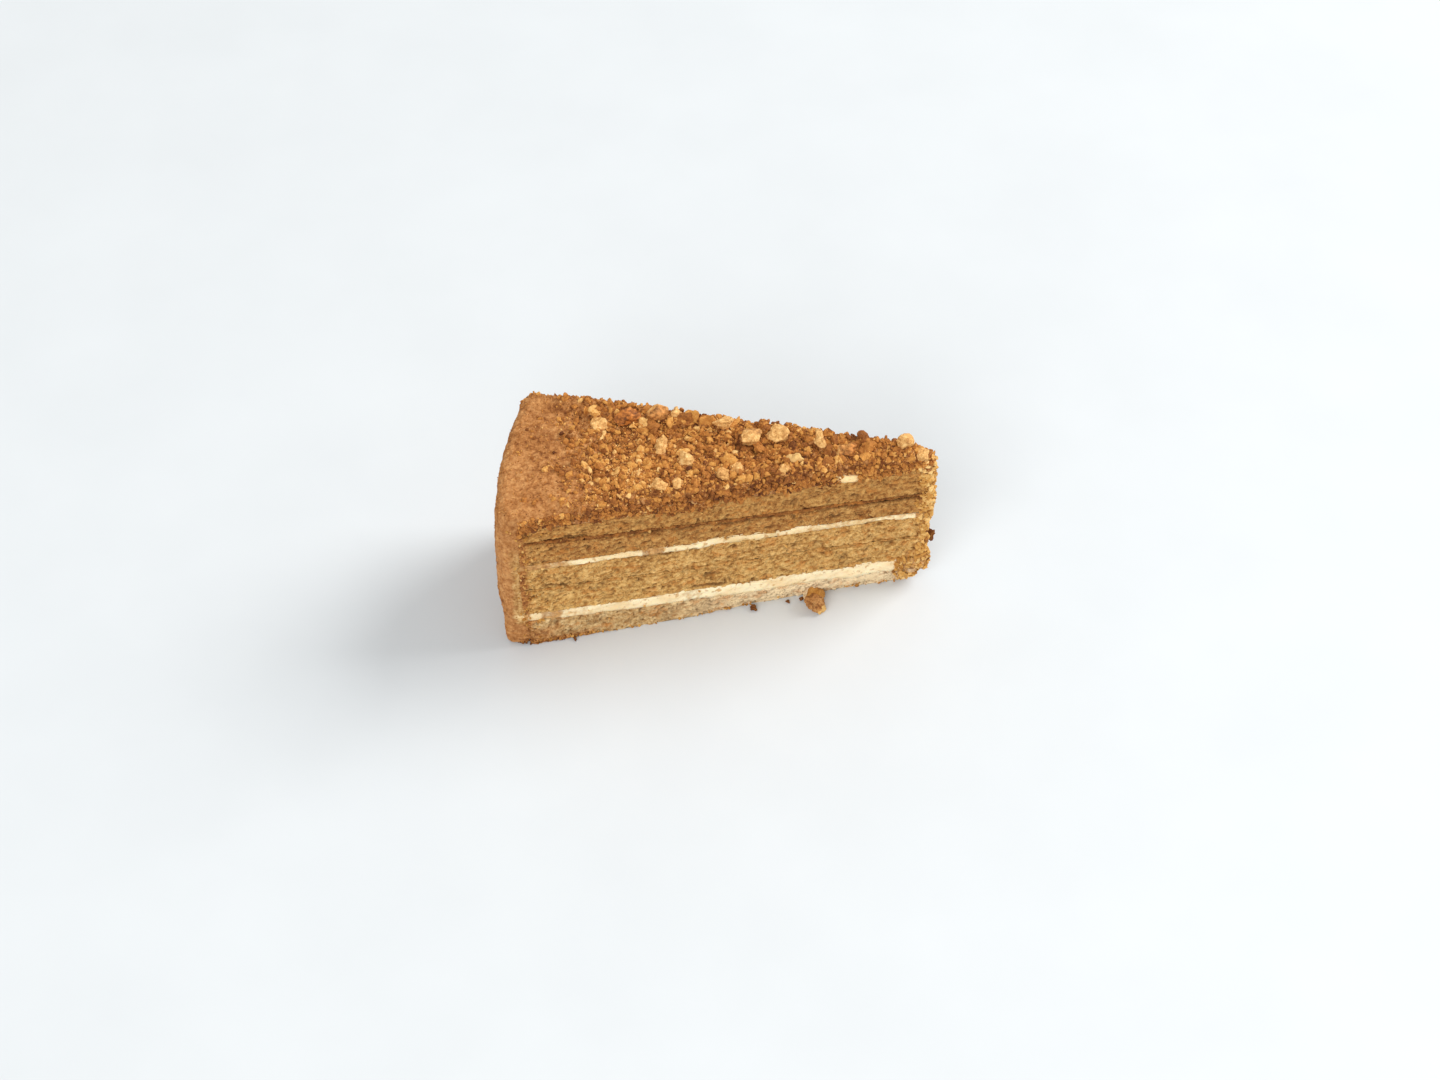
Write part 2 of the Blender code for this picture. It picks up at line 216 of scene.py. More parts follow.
class Graph:
    def __init__(self, materialName):
        self.material = bpy.data.materials.new(materialName)
        self.material.use_nodes = True
        self.tree = self.material.node_tree
        self.shader = self.tree.nodes["Principled BSDF"]
        self.coords = self.node("ShaderNodeTexCoord", {})["Object"]

    # A node with its settings made first, then its sockets filled or linked
    def node(self, kind, settings, **sockets):
        node = self.tree.nodes.new(kind)
        stops = settings.pop("stops", None)
        for setting, value in settings.items():
            setattr(node, setting, value)
        for place, (position, colour) in enumerate(stops or []):
            elements = node.color_ramp.elements
            element = elements[place] if place < 2 else elements.new(position)
            element.position, element.color = position, (*colour, 1)
        for socketName, value in sockets.items():
            names = [s.name for s in node.inputs]
            target = (node.inputs[int(socketName[1:])] if socketName[0] == "i"
                      else node.inputs[names.index(socketName)])
            self.feed(target, value)
        return {s.name: Value(self, s) for s in node.outputs if s.enabled}

    def feed(self, target, value):
        if isinstance(value, Value):
            self.tree.links.new(value.socket, target)
        elif isinstance(value, tuple) and len(value) == 3 and target.type == "RGBA":
            target.default_value = (*value, 1)
        else:
            target.default_value = value

    def maths(self, operation, first, second):
        return self.node("ShaderNodeMath", {"operation": operation}, i0=first, i1=second)["Value"]

    # 0 at start and 1 at end
    def clamp(self, value, start, end):
        return self.node("ShaderNodeMapRange", {"clamp": True}, Value=value,
                         **{"From Min": start, "From Max": end})["Result"]

    def mix(self, share, first, second):
        return self.node("ShaderNodeMix", {"data_type": "RGBA"}, i0=share, i6=first,
                         i7=second)["Result"]

    def ramp(self, share, *stops):
        return self.node("ShaderNodeValToRGB", {"stops": stops}, Fac=share)["Color"]

    # Object coordinates; a stretch under 1 makes a pattern longer along that axis
    def where(self, stretch):
        if stretch is None:
            return self.coords
        return self.node("ShaderNodeMapping", {}, Vector=self.coords, Scale=stretch)["Vector"]

    def noise(self, size, detail=3.0, stretch=None):
        return self.node("ShaderNodeTexNoise", {}, Vector=self.where(stretch), Scale=1 / size,
                         Detail=detail, Roughness=0.55)["Fac"]

    def cells(self, size, stretch=None):
        return self.node("ShaderNodeTexVoronoi", {}, Vector=self.where(stretch),
                         Scale=1 / size)["Distance"]

    def attribute(self, attributeName):
        return self.node("ShaderNodeAttribute", {"attribute_name": attributeName})["Fac"]

    def finish(self, colour, roughness, height, look):
        self.feed(self.shader.inputs["Base Color"], colour)
        self.feed(self.shader.inputs["Roughness"], roughness)
        self.feed(self.shader.inputs["Specular IOR Level"], look["specular"])
        bump = self.node("ShaderNodeBump", {}, Strength=1.0, Distance=look["bump"],
                         Height=height)["Normal"]
        self.feed(self.shader.inputs["Normal"], bump)
        return self.material


# A colour as the eye sees it, 0 to 255, made linear
def seen(red, green, blue):
    return tuple((c / 255 / 12.92) if c < 10.3 else ((c / 255 + 0.055) / 1.055) ** 2.4
                 for c in (red, green, blue))


# The finishes. Lengths are the sizes of the noise patterns, shares how much they show
spongeLook = {
    "specular": 0.25, "bump": 0.35 * mm,
    "patch": 7 * mm, "mottle": 1.4 * mm, "grain": 0.5 * mm, "pore": 1.0 * mm,
    "warmth": 2.7 * mm, "speck": 0.95 * mm,
    "paleShare": 0.78, "warmShare": 0.5, "hollowShadeShare": 0.7, "speckShare": 0.55,
    "highlightShare": 0.4,
    "pale": seen(250, 226, 184), "warm": seen(194, 122, 52),
    "dust": ((0.4, seen(118, 66, 28)), (0.5, seen(170, 110, 55)), (0.62, seen(200, 142, 80))),
}


# Open crumb: pale painted highlight on the high points, browner painted shade in the hollows and
# cracks, orange and dark specks, coat dust
def spongeMaterial(layerName, light, middle, dark, speckAndShade):
    g, look = Graph(layerName), spongeLook
    patches = g.noise(look["patch"])
    mottle = g.noise(look["mottle"], 4, (0.8, 0.8, 1.1))
    grain = g.noise(look["grain"], 2)
    pores = g.cells(look["pore"], (0.8, 0.8, 1.0))
    share = 0.55 * mottle + 0.2 * patches + 0.27 * grain - 0.01
    colour = g.ramp(share, (0.4, dark), (0.5, middle), (0.62, light))
    colour = g.mix(g.attribute("pale") * look["paleShare"], colour, look["pale"])
    warm = g.clamp(g.noise(look["warmth"], 3, (0.7, 0.7, 1.2)), 0.52, 0.66)
    colour = g.mix(warm * look["warmShare"], colour, look["warm"])
    # Painted shade: the pits and cracks, where the face was pushed in, are darkened towards the
    # speck colour; the dark specks are the sponge's own
    paintedHollowShade = g.clamp(g.attribute("depth"), -0.1, -0.75) * look["hollowShadeShare"]
    specks = g.clamp(g.noise(look["speck"], 2), 0.58, 0.7) * look["speckShare"]
    colour = g.mix(g.maths("MAXIMUM", paintedHollowShade, specks), colour, speckAndShade)
    # Painted highlight: where the face was raised, the colour is lightened towards the light tone
    paintedHighlight = g.clamp(g.attribute("depth"), 0.1, 0.6) * look["highlightShare"]
    colour = g.mix(paintedHighlight, colour, light)
    dust = g.ramp(mottle * 0.6 + grain * 0.4, *look["dust"])
    colour = g.mix(g.attribute("cover"), colour, dust)
    return g.finish(colour, 0.78 + 0.18 * grain, pores * 0.6 + grain * 0.9 + mottle * 0.7,
                    look)


creamLook = {
    "specular": 0.4, "bump": 0.12 * mm,
    "patch": 6 * mm, "grain": 0.8 * mm, "fleck": 1.5 * mm,
    "scatter": 0.15, "scatterDepth": 2 * mm, "scatterColour": (1.0, 0.6, 0.3),
    "deepStain": seen(150, 98, 46), "lightStain": seen(212, 164, 102),
}


# Cream smeared by the knife, stained where sponge was dragged across it
def creamMaterial(layerName, bright, dull, stain):
    g, look = Graph(layerName), creamLook
    patches = g.noise(look["patch"], 3, (0.5, 1, 1.3))
    grain = g.noise(look["grain"])
    flecks = g.noise(look["fleck"])
    colour = g.mix(g.clamp(patches, 0.42, 0.62), bright, dull)
    colour = g.mix(g.clamp(grain, 0.6, 0.72) * 0.5, colour, stain)
    stained = g.ramp(0.6 * flecks + 0.4 * grain, (0.4, look["deepStain"]), (0.5, stain),
                     (0.62, look["lightStain"]))
    ragged = g.clamp(g.attribute("stain") + 1.4 * (flecks - 0.5), 0.2, 0.8)
    colour = g.mix(ragged, colour, stained)
    inputs = g.shader.inputs
    inputs["Subsurface Weight"].default_value = look["scatter"]
    inputs["Subsurface Radius"].default_value = look["scatterColour"]
    inputs["Subsurface Scale"].default_value = look["scatterDepth"]
    return g.finish(colour, 0.45 + 0.3 * grain, grain * 0.7 + patches * 0.6, look)


coatLook = {
    "specular": 0.2, "bump": 0.3 * mm,
    "patch": 14 * mm, "fleck": 1.9 * mm, "grain": 0.6 * mm, "lump": 0.9 * mm,
    "speck": 1.1 * mm,
    "tones": ((0.36, seen(112, 62, 28)), (0.46, seen(164, 107, 56)),
              (0.54, seen(186, 129, 76)), (0.65, seen(206, 152, 94))),
    "speckTone": seen(116, 62, 26), "hollowShadeTone": seen(112, 62, 26), "hollowShadeShare": 0.65,
    "bare": ((0.38, seen(146, 100, 50)), (0.5, seen(186, 142, 84)),
             (0.64, seen(216, 178, 120))),
    "smear": ((0.4, seen(226, 184, 122)), (0.6, seen(250, 222, 168))),
}


# Pressed fine crumbs: orange-brown, with darker and paler grains, painted shade in the
# hollows and a little over the coarse part. At the near corner the layers show through
def coatMaterial():
    g, look = Graph("crumb coat"), coatLook
    patches = g.noise(look["patch"])
    flecks = g.noise(look["fleck"], 4)
    grain = g.noise(look["grain"])
    lumps = g.cells(look["lump"])
    coarse = g.attribute("coarse")
    quiet = 0.5 + (0.65 * flecks + 0.35 * grain - 0.5) * (0.75 + 0.6 * coarse)
    # Painted shade: the coat is made a little darker over its coarse part, for the shaded gaps
    # between the crumbs
    share = quiet + 0.25 * (patches - 0.5) - 0.07 * coarse
    colour = g.ramp(share, *look["tones"])
    specks = g.clamp(g.noise(look["speck"], 2), 0.57, 0.69) * (0.4 + 0.25 * coarse)
    colour = g.mix(specks, colour, look["speckTone"])
    # Painted shade: where the coat was pushed in, it is darkened towards the hollow shade tone
    paintedHollowShade = g.clamp(g.attribute("depth"), 0.0, -0.6) * look["hollowShadeShare"]
    colour = g.mix(paintedHollowShade, colour, look["hollowShadeTone"])
    crumb = g.ramp(0.6 * flecks + 0.4 * grain, *look["bare"])
    colour = g.mix(g.attribute("bare"), colour, crumb)
    colour = g.mix(g.attribute("smear"), colour, g.ramp(flecks, *look["smear"]))
    return g.finish(colour, 0.8 + 0.16 * grain, lumps * -0.8 + grain * 0.8 + flecks * 0.5,
                    look)


crumbLook = {"specular": 0.25, "bump": 0.2 * mm, "grain": 0.5 * mm, "fleck": 1.6 * mm}


# Loose crumbs: each has its own tone, with a little grain over it
def crumbMaterial(crumbName, stops):
    g = Graph(crumbName)
    grain = g.noise(crumbLook["grain"])
    flecks = g.noise(crumbLook["fleck"], 2)
    share = g.attribute("tone") + 0.55 * (grain - 0.5) + 0.25 * (flecks - 0.5)
    return g.finish(g.ramp(share, *stops), 0.75 + 0.2 * grain, grain + flecks * 0.6, crumbLook)


nutFinish = {
    "specular": 0.3, "bump": 0.25 * mm, "vein": 1.5 * mm, "grain": 0.45 * mm,
    "flesh": ((0.36, seen(178, 124, 62)), (0.5, seen(222, 172, 104)),
              (0.66, seen(242, 206, 142))),
    "gold": ((0.38, seen(154, 98, 46)), (0.5, seen(204, 146, 78)), (0.64, seen(230, 180, 108))),
    "skin": ((0.36, seen(92, 48, 18)), (0.48, seen(150, 84, 30)), (0.62, seen(204, 124, 52))),
}


# Walnut: pale or golden flesh, darker in the folds, with brown skin on the outer side
def nutMaterial():
    g, look = Graph("walnut"), nutFinish
    veins = g.noise(look["vein"], 4, (1, 1, 1.6))
    grain = g.noise(look["grain"], 2)
    share = 0.6 * veins + 0.4 * grain
    flesh = g.mix(g.attribute("golden"), g.ramp(share, *look["flesh"]),
                  g.ramp(share, *look["gold"]))
    colour = g.mix(g.attribute("skin"), flesh, g.ramp(veins, *look["skin"]))
    return g.finish(colour, 0.55 + 0.3 * grain, veins + 0.4 * grain, look)


# The crumbs dragged down the cut faces, and the edges that they hide. A pair is where
# a change starts and where it is complete
edgeLook = {
    "nearRound": 3.4 * mm, "farRound": 1.2 * mm,    # how far the top edges are rounded off
    "roundZ": (45 * mm, 54 * mm), "heapDepth": (8 * mm, 1.5 * mm),
    "spillRagged": 1.5 * mm, "spillSoft": 0.8 * mm,
    "nearSeam": -56.4 * mm, "farSeam": -59.9 * mm,  # where the coat ends on the cut faces
    "seamSoft": 1.6 * mm, "seamRagged": 1.2 * mm, "seamTuck": 0.7 * mm,
    "tipX": 60.5 * mm, "tipFootX": 54.5 * mm,       # past here the point is all crumbs
    "tipFootZ": (17 * mm, 9 * mm), "tipRagged": 2.2 * mm,
}


def nearDepth(places):
    x, y = places[:, 0], places[:, 1]
    return (y - slicePlan["cutsMeet"].y + halfWidth(x)) * math.cos(slicePlan["halfAngle"])


def farDepth(places):
    x, y = places[:, 0], places[:, 1]
    return (slicePlan["cutsMeet"].y + halfWidth(x) - y) * math.cos(slicePlan["halfAngle"])


# 1 on the near face, 0 from 3 mm behind it
def nearFace(places):
    return ramp01(nearDepth(places), 3 * mm, 1 * mm)


# Noise at each place, one value a point, about -0.7 to 0.7
def waves(places, size, shift=0.0):
    return np.array([noise.noise(Vector(p) + Vector((shift, 0, 0))) for p in places / size])


# The crumbs are heaped along the far edge of the top, at each x
heapHeights = [(-62, 0.9), (-50, 1.3), (-43, 2.2), (-24, 2.4), (-14, 1.5), (0, 1.6), (8, 1.2),
               (22, 2.2), (34, 1.6), (45, 1.2), (56, 1.0), (63, -1.4)]   # x, height in mm


def heaped(x):
    return np.interp(x / mm, *zip(*heapHeights)) * mm


# How far the worn top edge has sunk at each place
def topDrop(places):
    drop = np.zeros(len(places))
    for depth, radius in ((nearDepth(places), edgeLook["nearRound"]),
                          (farDepth(places), edgeLook["farRound"])):
        gap = np.clip(radius - depth, 0, radius)
        drop += radius - np.sqrt(radius ** 2 - gap ** 2)
    return drop - heaped(places[:, 0]) * ramp01(farDepth(places), *edgeLook["heapDepth"])


def roundTopEdges(places):
    places[:, 2] -= topDrop(places) * ramp01(places[:, 2], *edgeLook["roundZ"])


# The lower edge of the spilled crumbs, at each x of a cut face
spillHeights = [(-60, 47.6), (-57, 48.2), (-53, 50.5), (-45, 51.1), (-22, 51.0), (-15, 48.4),
                (-8, 48.0), (5, 50.6), (22, 51.0), (29, 50.3), (64, 50.2)]   # x, z in mm


def spillLine(x):
    ragged = waves(np.stack([x, x * 0 + 0.3 * mm, x * 0 + 1.7 * mm], 1), 5 * mm)
    ragged += 0.7 * waves(np.stack([x, x * 0 + 9 * mm, x * 0], 1), 1.6 * mm)
    heights = np.interp(x / mm, *zip(*spillHeights)) * mm
    return heights + edgeLook["spillRagged"] * ragged


# The edge of the crumbs that cover the point, at each height
def tipLine(places):
    foot = ramp01(places[:, 2], *edgeLook["tipFootZ"])
    line = edgeLook["tipX"] + (edgeLook["tipFootX"] - edgeLook["tipX"]) * foot
    ragged = waves(places * [0, 0, 1] + [70 * mm, 0, 0], 4 * mm)
    return line + edgeLook["tipRagged"] * ragged


# The foot of the near face is worn back, and the point's lower half more
footLook = {"height": 5 * mm, "face": 1.0 * mm, "point": 2.4 * mm, "waist": 1.3 * mm,
            "faceX": (-5 * mm, 10 * mm), "pointX": (50 * mm, 62 * mm),
            "waistZ": (36 * mm, 22 * mm), "fallenDepth": -0.5 * mm}


def wearFoot(places):
    look = footLook
    low = ramp01(places[:, 2], look["height"], 0.5 * mm)
    face = nearFace(places) * (nearDepth(places) > look["fallenDepth"])
    places[:, 1] += look["face"] * low * face * ramp01(places[:, 0], *look["faceX"])
    low = ramp01(places[:, 2], 2 * look["height"], 0.5 * mm)
    waist = ramp01(places[:, 2], *look["waistZ"])
    atPoint = ramp01(places[:, 0], *look["pointX"])
    places[:, 0] -= (look["point"] * low + look["waist"] * waist) * atPoint


# Where the coat ends at each place: further back on the far face
def seamLine(places):
    onNear = places[:, 1] < slicePlan["cutsMeet"].y
    return np.where(onNear, edgeLook["nearSeam"], edgeLook["farSeam"])


# Where crumbs stick to the foot of the cut faces, to the corner's heel and to the point
coverLook = {
    "footZ": (3.2 * mm, 1.2 * mm), "footX": (-34 * mm, -44 * mm),
    "heelZ": (8.5 * mm, 5.5 * mm), "heelX": (-46 * mm, -51 * mm), "heelShare": 0.8,
    "pointShare": 0.45,
}


# How much crumb lies over a cut face: 0 bare, 1 covered
def crumbCover(places):
    x, z, look = places[:, 0], places[:, 2], coverLook
    line = spillLine(x)
    spill = ramp01(z, line - edgeLook["spillSoft"], line + edgeLook["spillSoft"])
    ragged = waves(places * [0, 0, 1] + [50 * mm, 0, 0], 3 * mm)
    seam = seamLine(places) + edgeLook["seamRagged"] * ragged
    atSeam = ramp01(x, seam + edgeLook["seamSoft"], seam)
    foot = ramp01(z, *look["footZ"]) * ramp01(x, *look["footX"])
    heel = ramp01(z, *look["heelZ"]) * ramp01(x, *look["heelX"]) * look["heelShare"]
    line = tipLine(places)
    tip = ramp01(x, line - 1 * mm, line + 1 * mm) * look["pointShare"]
    return np.maximum.reduce([spill, atSeam, foot, heel, tip])


# The layers, bottom up. Each is a copy of its solid with the open faces made fine
layerLook = {
    "cuts": 11,                                   # how finely an open face is divided
    "waveSize": 9 * mm, "waveHeight": 0.45 * mm,  # the layers' edges run in soft waves
    "waveFootZ": (2 * mm, 8 * mm), "waveTopZ": (55 * mm, 50 * mm),
    "lumpSize": 3.6 * mm, "lumpHeight": 0.5 * mm,
    "streakSize": 2.0 * mm, "streakHeight": 0.15 * mm,
    "grainSize": 1.1 * mm, "grainHeight": 0.6 * mm,
    "crumbSize": 0.7 * mm, "crumbHeight": 0.6 * mm,
    "pitSize": 0.95 * mm, "pitDepth": 0.55 * mm, "pitEdge": (0.2, 0.45),
    "fallenDepth": (-1.2 * mm, -2 * mm), "fallenCover": 0.8, "paleX": (-25 * mm, 25 * mm),
}

# Cracks and slits in the near face: from x, z to x, z, half width, depth, all in mm
fissures = [
    (-50.2, 25.5, -45, 24.2, 0.65, 1.8), (-41, 23.7, -38.2, 23.4, 0.45, 1.1),
    (22.6, 41.5, 23.6, 48.2, 0.5, 1.0), (23.4, 36.8, 22.8, 39.0, 0.4, 0.9),
    (-17.8, 46.5, -16.4, 50.6, 0.5, 1.0), (-14.5, 44.2, -15.5, 47.2, 0.4, 0.8),
    (-8, 13.8, 3, 13.2, 0.6, 1.4), (-22, 31.0, -13, 30.6, 0.7, 1.3),
    (54, 45.2, 62, 44.4, 0.4, 1.0), (-50, 45.0, -38, 44.6, 0.6, 1.2),
    (-24, 41.2, -6, 40.2, 0.5, 1.1), (-4, 39.9, 20, 39.0, 0.45, 1.0),
    (26, 38.6, 64, 37.9, 0.5, 1.3), (8, 12.6, 17, 12.4, 0.35, 0.8),
    (30, 13.0, 47, 13.2, 0.3, 0.7), (-52, 40.0, -46, 41.5, 0.5, 0.9),
    (-30, 36.5, -20, 36.0, 0.35, 0.8), (30, 34.8, 44, 34.6, 0.35, 0.8),
    (-12, 18.6, 4, 18.0, 0.35, 0.8), (20, 25.8, 34, 25.3, 0.35, 0.8),
    (48, 20.4, 57, 20.2, 0.35, 0.9), (2, 46.2, 14, 45.9, 0.3, 0.7),
]
crackLook = {"depthShare": 0.7, "raggedX": 1.1, "raggedZ": 0.6, "reach": 1.5 * mm}


# The cut faces and the point, but not what the coat covers
def onOpenFace(centres, normals):
    return (np.abs(normals[:, 2]) < 0.75) & (centres[:, 0] > slicePlan["outerX"] + 6 * mm)


# Divides the open faces finely and gives back how open each point lies
def makeOpenFaces(piece, cuts):
    selectFaces(piece, onOpenFace)
    inEditMode(piece, lambda: bpy.ops.mesh.subdivide(number_cuts=cuts))
    upright = ramp01(np.abs(vertexNormals(piece)[:, 2]), 0.95, 0.6)
    places = points(piece)
    seam = seamLine(places)
    openness = upright * ramp01(places[:, 0], seam - 1 * mm, seam + 1 * mm)
    addGroup(piece, "open", openness)
    return openness


# One gentle up and down for all layers, so that their edges still meet
def waveLayers(places):
    lift = waves(places * [1, 0.4, 0.4], layerLook["waveSize"]) * layerLook["waveHeight"]
    lift *= ramp01(places[:, 2], *layerLook["waveFootZ"])
    places[:, 2] += lift * ramp01(places[:, 2], *layerLook["waveTopZ"])


# How deep the cracks cut at each place of the near face
def fissureDepth(places):
    x = places[:, 0] / mm + crackLook["raggedX"] * waves(places, 1.8 * mm, 15.0)
    z = places[:, 2] / mm + crackLook["raggedZ"] * waves(places, 3 * mm, 5.0)
    deepest = np.zeros(len(places))
    for x0, z0, x1, z1, width, depth in fissures:
        along = np.array([x1 - x0, z1 - z0])
        share = ((x - x0) * along[0] + (z - z0) * along[1]) / (along @ along)
        share = np.clip(share, 0, 1)
        away = np.hypot(x - x0 - share * along[0], z - z0 - share * along[1])
        slim = width * (0.35 + 0.65 * np.sqrt(4 * share * (1 - share)))   # thin at its ends
        deepest = np.maximum(deepest, depth * ramp01(away, slim * 1.5, slim * 0.3))
    deepest *= crackLook["depthShare"] * mm
    return deepest * (nearDepth(places) < crackLook["reach"])


# Pushes the layers' hidden ends into the coat, so that no gap shows at the seam
def tuckEnds(places):
    atSeam = ramp01(np.abs(places[:, 0] - seamLine(places)), 2.4 * mm, 1.2 * mm)
    outside = np.minimum(nearDepth(places), farDepth(places)) < 2.6 * mm
    places[:, 0] -= edgeLook["seamTuck"] * atSeam * outside


# Keeps a layer's edges at their height, so that the next layer still meets them
def keepEdges(before, after, normals):
    after[:, 2] = np.where(np.abs(normals[:, 2]) > 0.3, before[:, 2], after[:, 2])
    return after


def makeSponge(nodeName, material, slotName="sponge"):
    piece, look = copyNode(nodeName, nodeName.replace("_", "Layer")), layerLook
    openness = makeOpenFaces(piece, look["cuts"])
    reshape(piece, tuckEnds, waveLayers, roundTopEdges, wearFoot)
    before, normals = points(piece), vertexNormals(piece)
    displace(piece, "VORONOI", look["grainSize"], -look["grainHeight"], "open", 0.55,
             contrast=1.2)
    displace(piece, "CLOUDS", look["crumbSize"], look["crumbHeight"], "open", depth=3,
             contrast=1.4)
    raised = look["lumpHeight"] * waves(before, look["lumpSize"], 1.0)
    raised += look["streakHeight"] * waves(before * [0.22, 0.22, 1.5], look["streakSize"], 2.0)
    pits = ramp01(waves(before * [0.8, 0.8, 1.1], look["pitSize"], 3.0), *look["pitEdge"])
    raised -= np.maximum(pits * look["pitDepth"], fissureDepth(before))
    after = points(piece) + normals * (raised * openness)[:, None]
    after = keepEdges(before, after, normals)
    setPoints(piece, after)
    addAttribute(piece, "depth", np.einsum("ij,ij->i", after - before, normals) / mm)
    fallen = ramp01(nearDepth(before), *look["fallenDepth"])
    cover = np.maximum(crumbCover(before), fallen * look["fallenCover"])
    addAttribute(piece, "cover", cover)
    pale = ramp01(before[:, 0], *look["paleX"]) * (nodeName == "sponge_1")
    addAttribute(piece, "pale", pale * (1 - fallen))
    shadeSmooth(piece, smoothUnder["layer"])
    return finishPiece(piece, material, slotName, nodeName)


# Where each cream is stained or smeared over: from x to x in mm, and how much
creamStains = {
    "cream_1": [(-53, -46, 0.75), (-46, -37, 0.3), (-10, -5, 0.4), (54.5, 70, 1.0)],
    "cream_3": [(-70, -49, 0.95), (-49, -43.5, 0.7), (-22, -15, 0.85), (26, 61, 0.34),
                (60, 70, 1.0)],
    "cream_top": [(-70, 35.5, 1.0), (42, 43.5, 1.0), (45.5, 70, 1.0)],
}
stainLook = {"ragged": 1.4, "soft": 0.8, "spots": 0.6, "spotEdge": (0.3, 0.5)}


def stainOf(places, nodeName):
    x = places[:, 0] / mm + stainLook["ragged"] * waves(places, 2.5 * mm, 9.0)
    soft = stainLook["soft"]
    stain = crumbCover(places)
    if nodeName == "cream_top":
        stain = 1.0 * (places[:, 1] > slicePlan["cutsMeet"].y)
    for start, end, amount in creamStains[nodeName]:
        within = ramp01(x, start - soft, start + soft) * ramp01(x, end + soft, end - soft)
        stain = np.maximum(stain, amount * within)
    spots = ramp01(waves(places, 1.6 * mm, 2.0), *stainLook["spotEdge"])
    return np.maximum(stain, stainLook["spots"] * spots)


# The top cream shows at the near edge in one place, where the crumbs fell off it
fleckLook = {"x": 39.0 * mm, "reach": 3.9 * mm, "out": 0.7 * mm, "down": 0.3 * mm}


def fleckShare(x):
    return ramp01(np.abs(x - fleckLook["x"]), fleckLook["reach"], fleckLook["reach"] * 0.3)


def showFleck(places):
    share = fleckShare(places[:, 0]) * (nearDepth(places) < 0.8 * mm)
    places[:, 1] -= share * fleckLook["out"]
    places[:, 2] -= share * fleckLook["down"]


# A cream grows thicker towards the point; the upper one thins again
creamShape = {
    "cuts": 8, "grow": 0.15 * mm, "growMore": 0.45 * mm, "growX": (-50 * mm, 15 * mm),
    "thin": 0.4 * mm, "thinX": (15 * mm, 45 * mm),
    "waveSize": 3 * mm, "waveHeight": 0.45 * mm, "rippleSize": 1.1 * mm,
    "rippleHeight": 0.3 * mm, "lumpSize": 4 * mm, "lumpHeight": 0.9 * mm,
    "grainSize": 1.2 * mm, "grainHeight": 0.5 * mm,
}


def makeCream(nodeName, material):
    piece, look = copyNode(nodeName, nodeName.replace("_", "Layer")), creamShape
    makeOpenFaces(piece, look["cuts"])
    reshape(piece, tuckEnds, waveLayers)
    places, normals = points(piece), vertexNormals(piece)
    grow = look["grow"] + look["growMore"] * ramp01(places[:, 0], *look["growX"])
    grow += look["waveHeight"] * waves(places, look["waveSize"], 4.0)
    grow += look["rippleHeight"] * waves(places, look["rippleSize"], 6.0)
    if nodeName == "cream_3":
        grow -= look["thin"] * ramp01(places[:, 0], *look["thinX"])
    flat = ramp01(np.abs(normals[:, 2]), 0.3, 0.6)
    places[:, 2] += np.sign(normals[:, 2]) * flat * grow
    setPoints(piece, places)
    reshape(piece, roundTopEdges)
    if nodeName == "cream_top":
        reshape(piece, showFleck)
    before, normals = points(piece), vertexNormals(piece)
    displace(piece, "CLOUDS", look["lumpSize"], look["lumpHeight"], "open", 0.55)
    displace(piece, "CLOUDS", look["grainSize"], look["grainHeight"], "open")
    setPoints(piece, keepEdges(before, points(piece), normals))
    addAttribute(piece, "stain", stainOf(before, nodeName))
    shadeSmooth(piece, smoothUnder["layer"])
    return finishPiece(piece, material, "cream", nodeName)


# Each sponge's node and finish, then its light, middle and dark colours and its speck colour, as
# seen.
# The speck colour is also the painted shade in the pits and cracks, and the light colour the
# painted highlight on raised points
spongeTable = [
    ("sponge_1", "bottom sponge", (226, 194, 142), (196, 158, 104), (160, 116, 66), (96, 60, 28)),
    ("sponge_2", "second sponge", (228, 186, 118), (202, 155, 88), (162, 112, 54), (96, 58, 24)),
    ("sponge_3", "third sponge", (228, 186, 118), (200, 152, 86), (160, 110, 52), (96, 58, 24)),
    ("sponge_4", "fourth sponge", (206, 158, 92), (176, 124, 64), (138, 86, 38), (80, 46, 20)),
    ("sponge_5", "top sponge", (208, 160, 92), (182, 130, 68), (146, 94, 42), (92, 54, 22)),
]
# The soaked creams look like sponge, and so are made as it is
soakedTable = [
    ("cream_2", "soaked cream low", (224, 178, 108), (194, 144, 78), (152, 100, 46), (92, 54, 22)),
    ("cream_4", "soaked cream high", (176, 120, 58), (138, 84, 36), (106, 60, 24), (72, 38, 14)),
]
# Each cream's bright, dull and stained colours
creamTable = [
    ("cream_1", "lower cream", (250, 231, 189), (238, 208, 158), (186, 134, 74)),
    ("cream_3", "upper cream", (250, 226, 180), (232, 198, 142), (186, 134, 74)),
    ("cream_top", "top cream", (250, 214, 156), (230, 180, 116), (160, 100, 46)),
]


def makeFinish(make, finishName, colours):
    return make(finishName, *[seen(*colour) for colour in colours])


print("layers")
layers = []
for nodeName, finishName, *colours in spongeTable:
    layers.append(makeSponge(nodeName, makeFinish(spongeMaterial, finishName, colours)))
for nodeName, finishName, *colours in soakedTable:
    layers.append(makeSponge(nodeName, makeFinish(spongeMaterial, finishName, colours),
                             "soaked_cream"))
for nodeName, finishName, *colours in creamTable:
    layers.append(makeCream(nodeName, makeFinish(creamMaterial, finishName, colours)))


